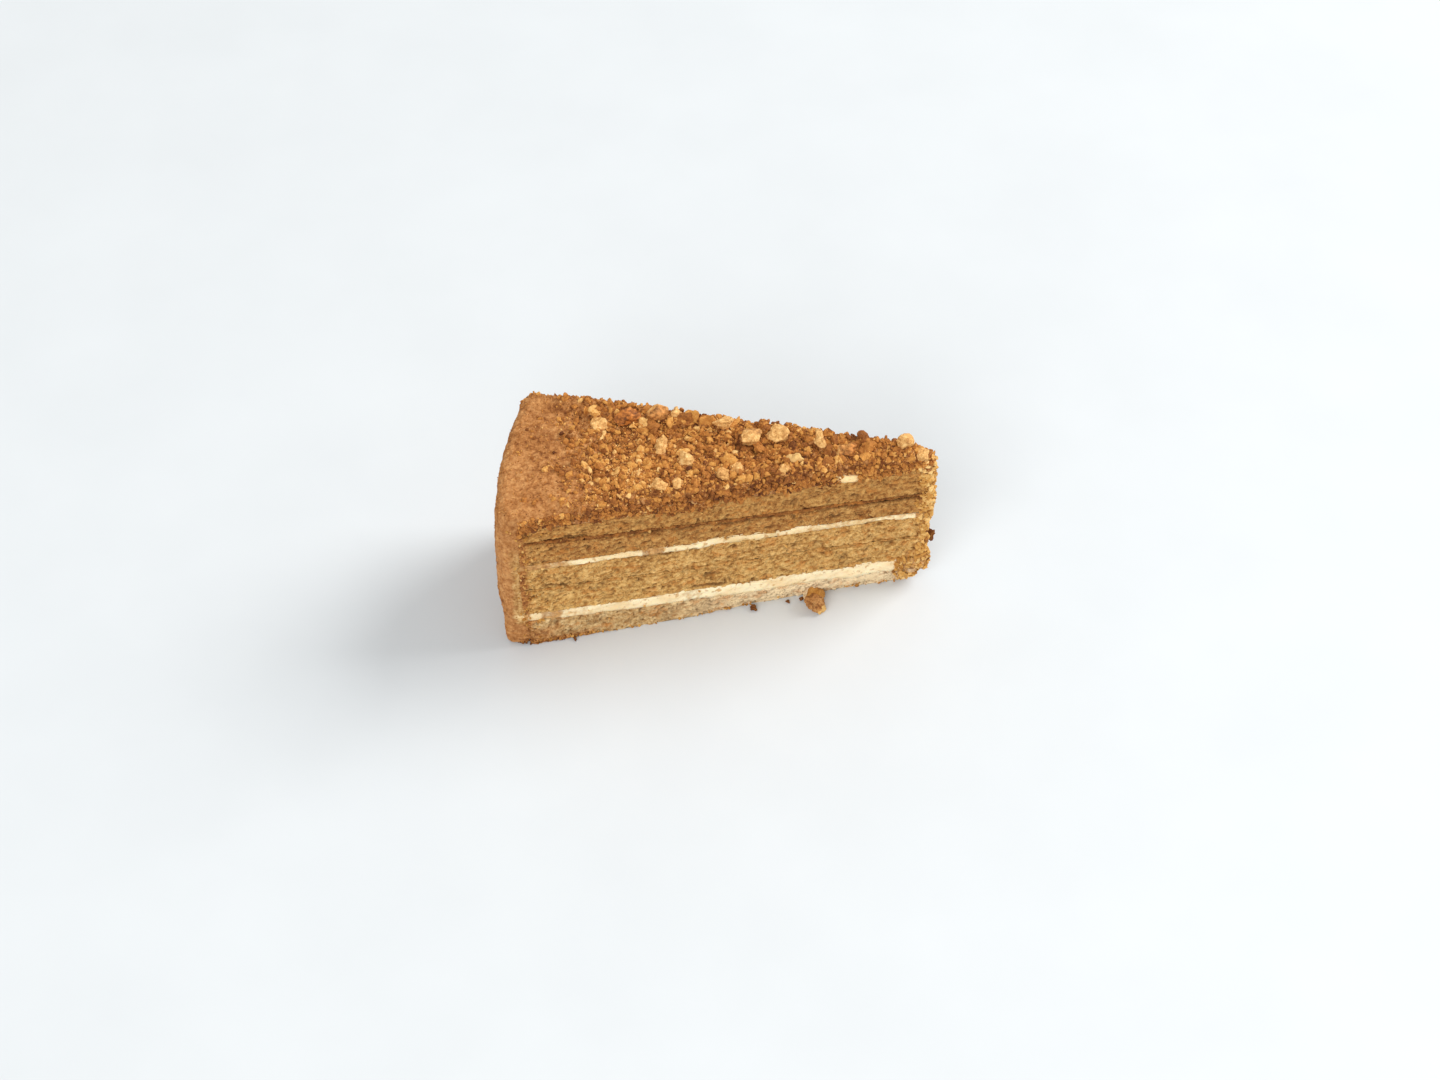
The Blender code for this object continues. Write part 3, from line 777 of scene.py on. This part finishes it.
# The coat: the solid's skin made fine, its low lumps planed off and crumbs laid on
coatShape = {
    "voxel": 0.5 * mm, "cover": 0.35 * mm,
    "coarseFrom": 12 * mm, "coarseTo": 44 * mm,   # distance in from the outer wall
    "coarseZ": (46 * mm, 52 * mm),
    "clodSize": 4.5 * mm, "clodHeight": 1.1 * mm,
    "grainSize": 1.7 * mm, "grainHeight": 1.3 * mm,
    "swellSize": 6 * mm, "swellHeight": 0.5 * mm,
    "dentSize": 2.6 * mm, "dentHeight": 0.7 * mm,
    "fineSize": 1.0 * mm, "fineHeight": 0.45 * mm,
    "skirt": 1.6 * mm, "lip": 0.9 * mm, "edge": (1.3 * mm, 0.4 * mm),
}

# The near corner, where the coat is thin: sponge and the lower cream show through above
# the heel, and the heel is filled out by crumbs that lie against it
cornerLook = {
    "bareX": (-61 * mm, -59 * mm), "bareFootZ": (9 * mm, 11 * mm),
    "bareTopZ": (46 * mm, 36 * mm), "bareShare": 0.8,
    "creamZ": 12.6 * mm, "creamHalf": (1.3 * mm, 0.7 * mm),
    "heel": 2.0 * mm, "heelZ": (12 * mm, 4 * mm), "heelDepth": (6 * mm, 1.5 * mm),
    "heelX": (-56 * mm, -59.5 * mm),
}


# 0 by the outer wall, where the crumbs are fine, to 1 where they are coarse
def coarseness(x):
    along = x - slicePlan["outerX"]
    return ramp01(along, coatShape["coarseFrom"], coatShape["coarseTo"])


# Draws the coat's cut edges out over the layers, raggedly
def overhang(places):
    x, z, top = places[:, 0], places[:, 2], topHeight(places[:, 0])
    atFace = np.maximum(ramp01(nearDepth(places), *coatShape["edge"]),
                        ramp01(farDepth(places), *coatShape["edge"]))
    seam = seamLine(places)
    inside = ramp01(x, seam - 1 * mm, seam + 1 * mm)
    under = atFace * inside * ramp01(z, top - 0.6 * mm, top - 1.4 * mm)
    ragged = 1 + 1.3 * waves(places * [1, 1, 0], 3 * mm, 6.0)
    places[:, 2] -= under * coatShape["skirt"] * ragged
    end = atFace * ramp01(x, seam - 1.2 * mm, seam - 0.2 * mm) * (1 - inside * 0.5)
    end *= ramp01(places[:, 2], 51 * mm, 48 * mm)
    ragged = 1 + 1.4 * waves(places * [0, 0, 1], 2.6 * mm, 8.0)
    places[:, 0] += end * coatShape["lip"] * ragged


def fillHeel(places):
    look = cornerLook
    corner = ramp01(nearDepth(places), *look["heelDepth"]) * ramp01(places[:, 0], *look["heelX"])
    places[:, 0] -= look["heel"] * ramp01(places[:, 2], *look["heelZ"]) * corner


# Attributes for the sponge and the cream that show through the near corner
def addCorner(piece, places):
    look = cornerLook
    x = places[:, 0] + 1.2 * mm * waves(places, 2 * mm)
    near = nearFace(places) * ramp01(x, *look["bareX"])
    z = places[:, 2] + 1.5 * mm * waves(places, 2.5 * mm, 14.0)
    above = ramp01(z, *look["bareFootZ"]) * ramp01(z, *look["bareTopZ"]) * look["bareShare"]
    addAttribute(piece, "bare", above * near)
    z = places[:, 2] + 0.8 * mm * waves(places, 1.5 * mm, 16.0)
    addAttribute(piece, "smear", near * ramp01(np.abs(z - look["creamZ"]), *look["creamHalf"]))


# Takes off the solid's own lumps on top
def planeTop(places):
    places[:, 2] = np.minimum(places[:, 2], topHeight(places[:, 0]) + coatShape["cover"])


def makeCoat():
    piece, look = copyNode("crumb_coat", "crumbCoat"), coatShape
    applyModifier(piece, "REMESH", mode="VOXEL", voxel_size=look["voxel"])
    reshape(piece, planeTop)
    applyModifier(piece, "SMOOTH", iterations=3, factor=0.5)
    reshape(piece, overhang, fillHeel, roundTopEdges)
    places, normals = points(piece), vertexNormals(piece)
    coarse = coarseness(places[:, 0]) * ramp01(places[:, 2], *look["coarseZ"])
    addGroup(piece, "coarseSide", coarse)
    addGroup(piece, "fineSide", 1 - coarse * 0.6)
    displace(piece, "CLOUDS", look["clodSize"], look["clodHeight"], "coarseSide", 0.55)
    displace(piece, "VORONOI", look["grainSize"], -look["grainHeight"], "coarseSide",
             contrast=1.2)
    displace(piece, "CLOUDS", look["swellSize"], look["swellHeight"], "fineSide")
    addGroup(piece, "topSide", ramp01(normals[:, 2], 0.1, 0.7) * 0.7 + 0.3)
    displace(piece, "CLOUDS", look["dentSize"], look["dentHeight"], "topSide", depth=3)
    displace(piece, "CLOUDS", look["fineSize"], look["fineHeight"], depth=3, contrast=1.3)
    addAttribute(piece, "coarse", coarse)
    raised = np.einsum("ij,ij->i", points(piece) - places, normals)
    addAttribute(piece, "depth", raised / mm)
    addCorner(piece, places)
    pick(piece)
    bpy.ops.object.shade_smooth()
    return finishPiece(piece, coatMaterial(), "crumb_coat", "crumb_coat")


print("coat")
coat = makeCoat()


# Crumbs: a few rough shapes, copied by the thousand into joined meshes
def roughShapes(count, detail, roughness, seed):
    shapes = []
    rng = np.random.default_rng(seed)
    for number in range(count):
        bpy.ops.mesh.primitive_ico_sphere_add(subdivisions=detail, radius=0.5)
        ball = bpy.context.object
        shape = points(ball)
        bulge = waves(shape, 0.45, seed * 3.7 + number * 5.3)
        shape *= (1 + roughness * bulge + rng.normal(0, 0.08, len(shape)))[:, None]
        triangles = np.array([list(face.vertices) for face in ball.data.polygons])
        shapes.append((shape - shape.mean(0), triangles))
        bpy.data.objects.remove(ball)
    return shapes


def trianglesOf(piece):
    piece.data.calc_loop_triangles()
    corners = np.empty(len(piece.data.loop_triangles) * 3, int)
    piece.data.loop_triangles.foreach_get("vertices", corners)
    return corners.reshape(-1, 3)


# Random places on a piece's faces, with their normals, where chance allows
def spotsOn(piece, count, chance, rng):
    places = points(piece)[trianglesOf(piece)]
    cross = np.cross(places[:, 1] - places[:, 0], places[:, 2] - places[:, 0])
    length = np.linalg.norm(cross, axis=1)
    normals = cross / np.maximum(length[:, None], 1e-12)
    weight = length * np.maximum(chance(places.mean(1), normals), 0)
    chosen = rng.choice(len(weight), count, p=weight / weight.sum())
    a, b = rng.random((2, count, 1))
    flip = a + b > 1
    a, b = np.where(flip, 1 - a, a), np.where(flip, 1 - b, b)
    picked = places[chosen]
    found = picked[:, 0] + a * (picked[:, 1] - picked[:, 0]) + b * (picked[:, 2] - picked[:, 0])
    return found, normals[chosen]


# The dressed layers and coat as one surface, for crumbs to settle on
def skinOf(pieces):
    coords, faces, start = [], [], 0
    for piece in pieces:
        coords.append(points(piece))
        faces.append(trianglesOf(piece) + start)
        start += len(coords[-1])
    return BVHTree.FromPolygons(np.concatenate(coords).tolist(),
                                np.concatenate(faces).tolist())


# Moves crumbs onto the nearest surface, standing out by a share of their size
def settle(places, sizes, stand):
    for number, (place, size) in enumerate(zip(places, sizes)):
        spot, normal = surface.find_nearest(Vector(place))[:2]
        places[number] = spot + normal * size * stand
    return places


# Random rotations, as matrices
def turns(count, rng):
    q = rng.normal(size=(count, 4))
    w, x, y, z = (q / np.linalg.norm(q, axis=1, keepdims=True)).T
    return np.stack([
        1 - 2 * (y * y + z * z), 2 * (x * y - w * z), 2 * (x * z + w * y),
        2 * (x * y + w * z), 1 - 2 * (x * x + z * z), 2 * (y * z - w * x),
        2 * (x * z - w * y), 2 * (y * z + w * x), 1 - 2 * (x * x + y * y),
    ], 1).reshape(-1, 3, 3)


crumbShape = {"tinyUnder": 0.9 * mm, "stretch": (0.55, 1.4)}


# Joins one rough shape at each place into a single mesh. Small ones take simple shapes
def layCrumbs(pieceName, shapes, places, sizes, tones, material, rng):
    count = len(places)
    kinds = rng.integers(0, len(shapes), count) + len(tinyShapes)
    tiny = rng.integers(0, len(tinyShapes), count)
    kinds = np.where(sizes < crumbShape["tinyUnder"], tiny, kinds)
    spins = turns(count, rng)
    stretch = rng.uniform(*crumbShape["stretch"], (count, 3)) * sizes[:, None]
    coords, faces, tone, start = [], [], [], 0
    for kind, (shape, triangles) in enumerate(tinyShapes + shapes):
        mine = np.nonzero(kinds == kind)[0]
        if not len(mine):
            continue
        shaped = shape[None] * stretch[mine][:, None, :]
        turned = np.einsum("nij,nkj->nki", spins[mine], shaped) + places[mine][:, None]
        coords.append(turned.reshape(-1, 3))
        offsets = start + np.arange(len(mine))[:, None, None] * len(shape)
        faces.append((triangles[None] + offsets).reshape(-1, 3))
        tone.append(np.repeat(tones[mine], len(shape)))
        start += len(mine) * len(shape)
    coords, faces = np.concatenate(coords), np.concatenate(faces)
    mesh = bpy.data.meshes.new(pieceName)
    mesh.from_pydata(coords, [], faces)
    piece = addObject(pieceName, mesh)
    addAttribute(piece, "tone", np.concatenate(tone))
    shadeSmooth(piece, smoothUnder["crumb"])
    return finishPiece(piece, material, "crumb_coat")


# How likely a crumb is to lie on each face
def onTheTop(centres, normals):
    return ramp01(normals[:, 2], 0.2, 0.6) * (centres[:, 2] > 49 * mm)


def onTheWall(centres, normals):
    return (normals[:, 0] < -0.5) & (centres[:, 0] < slicePlan["outerX"] + 9 * mm)


# The larger the crowd, the more of them are small
def randomSizes(span, count, rng, crowd=1.8):
    return span[0] + (span[1] - span[0]) * rng.random(count) ** crowd


# Tones run in patches, as crumbs of one kind fell together
def randomTones(middle, spread, places, rng):
    tones = middle + spread * rng.normal(size=len(places))
    return np.clip(tones + 0.16 * waves(places, 7 * mm, 12.0), 0.06, 0.98)


# Places on a cut face: side is -1 for the near one, 1 for the far one
def onFace(x, z, side):
    y = slicePlan["cutsMeet"].y + side * halfWidth(x)
    return np.stack([x, y, z], 1)


print("crumbs")
coatTones = [(0.08, seen(92, 48, 20)), (0.3, seen(146, 88, 38)), (0.5, seen(181, 117, 53)),
             (0.7, seen(206, 147, 72)), (0.95, seen(232, 188, 120))]
spongeTones = [(0.08, seen(104, 58, 22)), (0.35, seen(174, 118, 52)),
               (0.6, seen(204, 152, 78)), (0.95, seen(232, 192, 124))]
coatCrumb = crumbMaterial("coat crumbs", coatTones)
spongeCrumb = crumbMaterial("sponge crumbs", spongeTones)
tinyShapes = roughShapes(6, 1, 0.6, 3)
smallShapes = roughShapes(8, 2, 0.8, 11)
coarseShapes = roughShapes(8, 3, 0.9, 23)

# The walnuts: distance from the outer wall, from the middle line, length, width, height,
# all in mm, how much brown skin is left on, and how golden the flesh is
nutPieces = [
    (29.7, 11.6, 5.4, 6.0, 3.2, 0.15, 0.35), (30.6, 6.6, 2.2, 4.0, 2.0, 0.0, 0.0),
    (38.6, 13.3, 10.0, 6.0, 4.2, 0.95, 0.5), (47.1, 13.8, 6.5, 5.0, 4.0, 0.6, 0.7),
    (52.3, 13.9, 4.4, 4.2, 3.2, 0.1, 0.4), (47.9, 1.6, 4.6, 6.6, 3.4, 0.1, 0.35),
    (54.9, -3.4, 5.2, 6.4, 3.6, 0.0, 0.15), (46.5, -13.0, 5.6, 4.8, 2.8, 0.1, 0.5),
    (52.4, -12.8, 4.4, 4.0, 2.4, 0.2, 0.55), (66.0, 10.3, 6.5, 4.6, 3.6, 0.1, 0.5),
    (73.6, 4.0, 8.0, 6.6, 4.6, 0.4, 0.55), (81.6, 5.6, 7.0, 6.4, 4.6, 0.1, 0.4),
    (94.3, 3.4, 3.2, 6.6, 3.4, 0.0, 0.25), (101.8, -0.6, 7.6, 6.2, 3.6, 0.8, 0.7),
    (119.0, 1.5, 5.0, 4.2, 5.4, 0.1, 0.45), (124.2, -0.8, 4.6, 4.0, 3.0, 0.0, 0.45),
    (83.5, -7.6, 4.2, 3.6, 2.6, 0.2, 0.6), (65.4, -9.2, 5.0, 4.2, 2.6, 0.0, 0.65),
    (69.6, -6.9, 4.4, 4.0, 2.4, 0.1, 0.65),
]


# True where no nut lies
def clearOfNuts(places):
    free = np.ones(len(places), bool)
    for along, across, length, width, *_ in nutPieces:
        x = (places[:, 0] - slicePlan["outerX"] - along * mm) / (length * 0.5 * mm)
        y = (places[:, 1] - slicePlan["cutsMeet"].y - across * mm) / (width * 0.5 * mm)
        free &= x * x + y * y > 0.9
    return free


# Paler crumbs lie together near one spot of the top and by the point
paleLook = {"x": -27 * mm, "y": -9 * mm, "reach": 13 * mm, "spot": 0.12, "point": 0.12,
            "pointX": (52 * mm, 60 * mm), "browner": 0.05, "brownerX": (-10 * mm, 25 * mm)}


def paleTone(places):
    look, x = paleLook, places[:, 0]
    away = np.hypot(x - look["x"], places[:, 1] - look["y"])
    spot = look["spot"] * ramp01(away, look["reach"], look["reach"] * 0.4)
    browner = look["browner"] * ramp01(x, *look["brownerX"])
    return spot - browner + look["point"] * ramp01(x, *look["pointX"])


fineLook = {"count": 9500, "size": (0.3 * mm, 0.9 * mm), "tone": 0.52, "spread": 0.17,
            "stand": 0.1, "onSmooth": 0.45, "onWall": 0.2, "seed": 41}


def fineChance(centres, normals):
    onTop = onTheTop(centres, normals) * (fineLook["onSmooth"] + coarseness(centres[:, 0]))
    return onTop + fineLook["onWall"] * onTheWall(centres, normals)


def layFineCrumbs():
    look = fineLook
    rng = np.random.default_rng(look["seed"])
    found, normals = spotsOn(coat, look["count"], fineChance, rng)
    sizes = randomSizes(look["size"], len(found), rng)
    sizes *= 0.5 + 0.5 * coarseness(found[:, 0]) ** 0.5
    tones = randomTones(look["tone"], look["spread"], found, rng) + paleTone(found)
    layCrumbs("fineCrumbs", tinyShapes, found + normals * sizes[:, None] * look["stand"],
              sizes, tones, coatCrumb, rng)


mediumLook = {"count": 3100, "size": (0.7 * mm, 2.0 * mm), "crowd": 2.4, "tone": 0.5,
              "spread": 0.16, "stand": 0.05, "onSmooth": 0.05, "fromWall": 6 * mm, "seed": 42}


def mediumChance(centres, normals):
    onTop = onTheTop(centres, normals) * (coarseness(centres[:, 0]) + mediumLook["onSmooth"])
    return onTop * (centres[:, 0] > slicePlan["outerX"] + mediumLook["fromWall"])


def layMediumCrumbs():
    look = mediumLook
    rng = np.random.default_rng(look["seed"])
    found, normals = spotsOn(coat, look["count"], mediumChance, rng)
    free = clearOfNuts(found)
    found, normals = found[free], normals[free]
    sizes = randomSizes(look["size"], len(found), rng, look["crowd"])
    tones = randomTones(look["tone"], look["spread"], found, rng) + paleTone(found)
    layCrumbs("mediumCrumbs", smallShapes, found + normals * sizes[:, None] * look["stand"],
              sizes, tones, coatCrumb, rng)


# The coarse crumbs lie where the solid has them, by the same seeded rule
coarseLook = {"tries": 190, "seed": 17, "size": (1.9 * mm, 3.9 * mm), "spacing": 2.2 * mm,
              "everyOnEdge": 4, "start": 0.14, "end": 0.98, "crowding": 0.9,
              "margin": 1.4 * mm, "edgeShare": 0.97, "sink": 0.9 * mm, "rise": 0.425,
              "tone": 0.54, "spread": 0.17, "shapeSeed": 5}


def layCoarseCrumbs():
    look = coarseLook
    draw = random.Random(look["seed"])
    placed, sizes = [], []
    for attempt in range(look["tries"]):
        share = draw.random() ** look["crowding"]
        share = look["start"] + (look["end"] - look["start"]) * share
        x = slicePlan["outerX"] + sliceLength * share
        reach = (halfWidth(x) - look["margin"]) * look["edgeShare"]
        size = look["size"][0] + (look["size"][1] - look["size"][0]) * draw.random() ** 2
        onEdge = attempt % look["everyOnEdge"] == 0
        y = slicePlan["cutsMeet"].y + (reach if onEdge else draw.uniform(-reach, reach))
        draw.random(), draw.random(), draw.random()   # the solid's own stretch and turn
        spot = Vector((x, y, topHeight(x)))
        if any((spot - other).length < look["spacing"] for other in placed):
            continue
        placed.append(spot)
        sizes.append(size)
    sizes, places = np.array(sizes), np.array([list(spot) for spot in placed])
    free = clearOfNuts(places)
    sizes, places = sizes[free], places[free]
    places[:, 2] += sizes * look["rise"] - look["sink"] - topDrop(places) * 0.8
    sizes *= 0.5 + 0.5 * ramp01(coarseness(places[:, 0]), 0, 0.5)
    rng = np.random.default_rng(look["shapeSeed"])
    tones = randomTones(look["tone"], look["spread"], places, rng)
    layCrumbs("coarseCrumbs", coarseShapes, places, sizes, tones, coatCrumb, rng)


# Crumbs that spilled over the top edges, down both cut faces
spillLook = {"count": 2000, "size": (0.35 * mm, 1.6 * mm), "crowd": 2.2, "endX": 63 * mm,
             "nearTop": 2.4 * mm, "farTop": 0.6 * mm, "downwards": 0.85, "stand": 0.12,
             "tone": 0.38, "spread": 0.15, "seed": 51}


def seamAt(side):
    return edgeLook["nearSeam"] if side < 0 else edgeLook["farSeam"]


def laySpill():
    look = spillLook
    rng = np.random.default_rng(look["seed"])
    places = []
    for side in (-1, 1):
        x = rng.uniform(seamAt(side) - 1 * mm, look["endX"], look["count"])
        low, high = spillLine(x) - 0.8 * mm, topHeight(x) - look["nearTop"]
        if side > 0:
            high = topHeight(x) - look["farTop"] + heaped(x)
        z = high - (high - low) * rng.random(len(x)) ** look["downwards"]
        places.append(onFace(x, z, side))
    places = np.concatenate(places)
    bare = fleckShare(places[:, 0]) * (places[:, 1] < 0) * (places[:, 2] < 54.5 * mm)
    places = places[bare < 0.5]
    sizes = randomSizes(look["size"], len(places), rng, look["crowd"])
    places = settle(places, sizes, look["stand"])
    tones = randomTones(look["tone"], look["spread"], places, rng)
    layCrumbs("spilledCrumbs", smallShapes, places, sizes, tones, coatCrumb, rng)


# Golden crumbs that cover the point and the ends of the creams
pointLook = {"count": 1900, "size": (0.35 * mm, 1.7 * mm), "crowd": 2.6, "topZ": 53 * mm,
             "sides": [0.45, 0.2, 0.35],   # shares on the near face, the end and the far face
             "footBack": 3.2 * mm, "footZ": (6 * mm, 0), "stand": 0.1, "tone": 0.6,
             "spread": 0.16, "paler": 0.14, "palerZ": (42 * mm, 50 * mm), "seed": 61}


def layPointCrumbs():
    look = pointLook
    rng, count = np.random.default_rng(look["seed"]), look["count"]
    side = rng.choice([-1.0, 0.0, 1.0], count, p=look["sides"])
    z = rng.uniform(0.4 * mm, look["topZ"], count)
    start = tipLine(np.stack([z * 0, z * 0, z], 1))
    end = slicePlan["tipX"] - look["footBack"] * ramp01(z, *look["footZ"]) ** 2
    places = onFace(start + (end - start) * rng.random(count) ** 0.8, z, side)
    atEnd = side == 0
    places[atEnd, 0] = end[atEnd]
    places[atEnd, 1] += rng.uniform(-1, 1, atEnd.sum()) * slicePlan["tipHalfWidth"]
    sizes = randomSizes(look["size"], count, rng, look["crowd"])
    tones = randomTones(look["tone"], look["spread"], places, rng)
    tones += look["paler"] * ramp01(z, *look["palerZ"])
    layCrumbs("pointCrumbs", smallShapes, settle(places, sizes, look["stand"]), sizes, tones,
              spongeCrumb, rng)


# Loose crumbs on the cut faces, along the coat's ends and at the foot, on each side
looseLook = {"face": 110, "seam": 150, "foot": 170, "size": (0.3 * mm, 1.1 * mm), "crowd": 2.0,
             "tone": 0.5, "spread": 0.14, "darkest": 0.34, "stand": 0.12,
             "heel": 0.28, "heelX": (-38 * mm, -48 * mm), "heelZ": (5 * mm, 3 * mm), "seed": 71}


def layLooseCrumbs():
    look = looseLook
    rng = np.random.default_rng(look["seed"])
    places = []
    for side in (-1, 1):
        x = rng.uniform(-56 * mm, 60 * mm, look["face"])
        places.append(onFace(x, 50 * mm * rng.random(len(x)) ** 0.8, side))
        z = rng.uniform(0.5 * mm, 53 * mm, look["seam"])
        x = seamAt(side) + 2.2 * mm * rng.normal(size=len(z)) + 0.3 * mm
        places.append(onFace(x, z, side))
        x = rng.uniform(-59 * mm, 60 * mm, look["foot"])
        x = np.where(rng.random(len(x)) < 0.4, -60 * mm + (x + 60 * mm) * 0.25, x)
        places.append(onFace(x, 0.3 * mm + 1.5 * mm * rng.random(len(x)) ** 2, side))
    places = np.concatenate(places)
    sizes = randomSizes(look["size"], len(places), rng, look["crowd"])
    tones = randomTones(look["tone"], look["spread"], places, rng)
    atHeel = ramp01(places[:, 2], *look["heelZ"]) * ramp01(places[:, 0], *look["heelX"])
    tones = np.maximum(tones, look["darkest"]) - look["heel"] * atHeel
    layCrumbs("looseCrumbs", tinyShapes, settle(places, sizes, look["stand"]), sizes, tones,
              spongeCrumb, rng)


# The crumb on the floor and what links it to the slice, then a few more at the foot
# and on the point. The second, pale crumb is a painted highlight on the lower right of the crumb
# on the floor
fallenLook = [   # x, y, z, size, tone
    (31.0, -11.9, 2.1, 4.6, 0.34), (31.9, -13.2, 1.5, 2.8, 0.75), (30.2, -8.6, 2.3, 4.2, 0.42),
    (29.4, -10.4, 1.2, 2.6, 0.2), (11.1, -11.8, 0.7, 1.7, 0.12), (21.8, -9.4, 0.6, 1.4, 0.1),
    (25.9, -8.5, 0.8, 1.6, 0.08), (64.9, 1.8, 18.0, 3.0, 0.1), (64.2, 0.6, 8.6, 2.2, 0.14),
    (-43.0, -22.8, 0.6, 1.4, 0.1),
]
fallenSeed = 81


def layFallenCrumbs():
    table = np.array(fallenLook)
    layCrumbs("fallenCrumbs", coarseShapes, table[:, :3] * mm, table[:, 3] * mm, table[:, 4],
              spongeCrumb, np.random.default_rng(fallenSeed))


surface = skinOf([coat] + layers)
layFineCrumbs()
layMediumCrumbs()
layCoarseCrumbs()
laySpill()
layPointCrumbs()
layLooseCrumbs()
layFallenCrumbs()

nutLook = {"sink": 0.9 * mm, "breaks": 7, "breakDepth": (0.24, 0.42), "detail": 4,
           "voxel": 0.04, "grow": 1.06, "turn": 0.5, "seed": 88,
           "lumpSize": 2.0 * mm, "lumpHeight": 1.1 * mm,
           "grainSize": 0.8 * mm, "grainHeight": 0.35 * mm}


# Knocks flat broken faces off a ball, as a chopped nut has
def breakNut(nut, draw):
    for _ in range(nutLook["breaks"]):
        normal = Vector((draw.gauss(0, 1), draw.gauss(0, 1), draw.gauss(0, 0.8))).normalized()
        place = normal * draw.uniform(*nutLook["breakDepth"])
        inEditMode(nut, lambda: bpy.ops.mesh.select_all(action="SELECT"),
                   lambda: bpy.ops.mesh.bisect(plane_co=place, plane_no=normal,
                                               use_fill=True, clear_outer=True))


def makeNut(draw, along, across, length, width, tall, skin, golden):
    look = nutLook
    bpy.ops.mesh.primitive_ico_sphere_add(subdivisions=look["detail"], radius=0.5)
    nut = bpy.context.object
    breakNut(nut, draw)
    applyModifier(nut, "REMESH", mode="VOXEL", voxel_size=look["voxel"])
    outside = vertexNormals(nut)
    x = slicePlan["outerX"] + along * mm
    centre = Vector((x, slicePlan["cutsMeet"].y + across * mm, topHeight(x)))
    centre.z += tall * mm * 0.5 - look["sink"]
    centre.z -= topDrop(np.array([centre]))[0]
    size = Vector((length, width, tall)) * mm * look["grow"]
    turn = Matrix.Rotation(draw.uniform(-look["turn"], look["turn"]), 4, "Z")
    nut.matrix_world = Matrix.Translation(centre) @ turn @ Matrix.Diagonal(size.to_4d())
    pick(nut)
    bpy.ops.object.transform_apply(location=True, rotation=True, scale=True)
    displace(nut, "CLOUDS", look["lumpSize"], look["lumpHeight"], contrast=1.2)
    displace(nut, "CLOUDS", look["grainSize"], look["grainHeight"])
    facing = Vector((draw.gauss(0, 1), draw.gauss(0, 1), 0.4)).normalized()
    lean = outside @ np.array(facing)
    addAttribute(nut, "skin", skin * ramp01(lean, 0.9 - skin * 1.6, 1.2 - skin * 1.6))
    addAttribute(nut, "golden", np.full(len(lean), golden))
    return nut


def makeNuts():
    draw = random.Random(nutLook["seed"])
    nuts = [makeNut(draw, *row) for row in nutPieces]
    bpy.ops.object.select_all(action="DESELECT")
    for nut in nuts:
        nut.select_set(True)
    bpy.context.view_layer.objects.active = nuts[0]
    bpy.ops.object.join()
    bpy.ops.object.shade_smooth()
    nuts[0].name = "walnuts"
    return finishPiece(nuts[0], nutMaterial(), "crumb_coat")


print("walnuts")
makeNuts()


# Floor, light and camera
print("stage")
viewLook = {"elevation": 47.8, "turn": -1.104, "distance": 811.5 * mm, "lens": 65.0,
            "target": Vector((1.55, 16.93, 0)) * mm}


floorLook = {"size": 8, "speckle": 50 * mm, "dark": (0.63, 0.655, 0.665),
             "light": (0.65, 0.675, 0.685), "specular": 0.5, "bump": 0.1 * mm}


def makeStage():
    bpy.ops.mesh.primitive_plane_add(size=floorLook["size"])
    floor = bpy.context.object
    floor.name = "floor"
    g = Graph("pale floor")
    speckle = g.noise(floorLook["speckle"])
    colour = g.ramp(speckle, (0.3, floorLook["dark"]), (0.7, floorLook["light"]))
    floor.data.materials.append(g.finish(colour, 0.5 + 0.1 * speckle, speckle, floorLook))


def makeCamera():
    turn, rise = math.radians(viewLook["turn"]), math.radians(viewLook["elevation"])
    back = Vector((math.sin(turn) * math.cos(rise), -math.cos(turn) * math.cos(rise),
                   math.sin(rise)))
    camera = addObject("camera", bpy.data.cameras.new("camera"))
    camera.location = viewLook["target"] + back * viewLook["distance"]
    camera.rotation_euler = (math.pi / 2 - rise, 0, turn)
    camera.data.lens = viewLook["lens"]
    camera.data.sensor_width = 36
    bpy.context.scene.camera = camera


lightLook = {
    "key": {"size": 2.2, "power": 104, "from": (2.4, 1.0, 2.0)},
    "fill": {"size": 2.6, "power": 68, "from": (-1.0, -2.4, 1.9)},
    "world": 0.57, "sky": (0.98, 0.99, 1, 1),
}


def makeLights():
    for lightName in ("key", "fill"):
        look = lightLook[lightName]
        data = bpy.data.lights.new(lightName, "AREA")
        data.shape, data.size, data.energy = "DISK", look["size"], look["power"]
        light = addObject(lightName, data)
        light.location = look["from"]
        light.rotation_euler = (-Vector(look["from"])).to_track_quat("-Z", "Y").to_euler()
    world = bpy.data.worlds.new("studio")
    world.use_nodes = True
    background = world.node_tree.nodes["Background"].inputs
    background["Color"].default_value = lightLook["sky"]
    background["Strength"].default_value = lightLook["world"]
    bpy.context.scene.world = world
    bpy.context.scene.view_settings.view_transform = "Standard"


makeStage()
makeCamera()
makeLights()
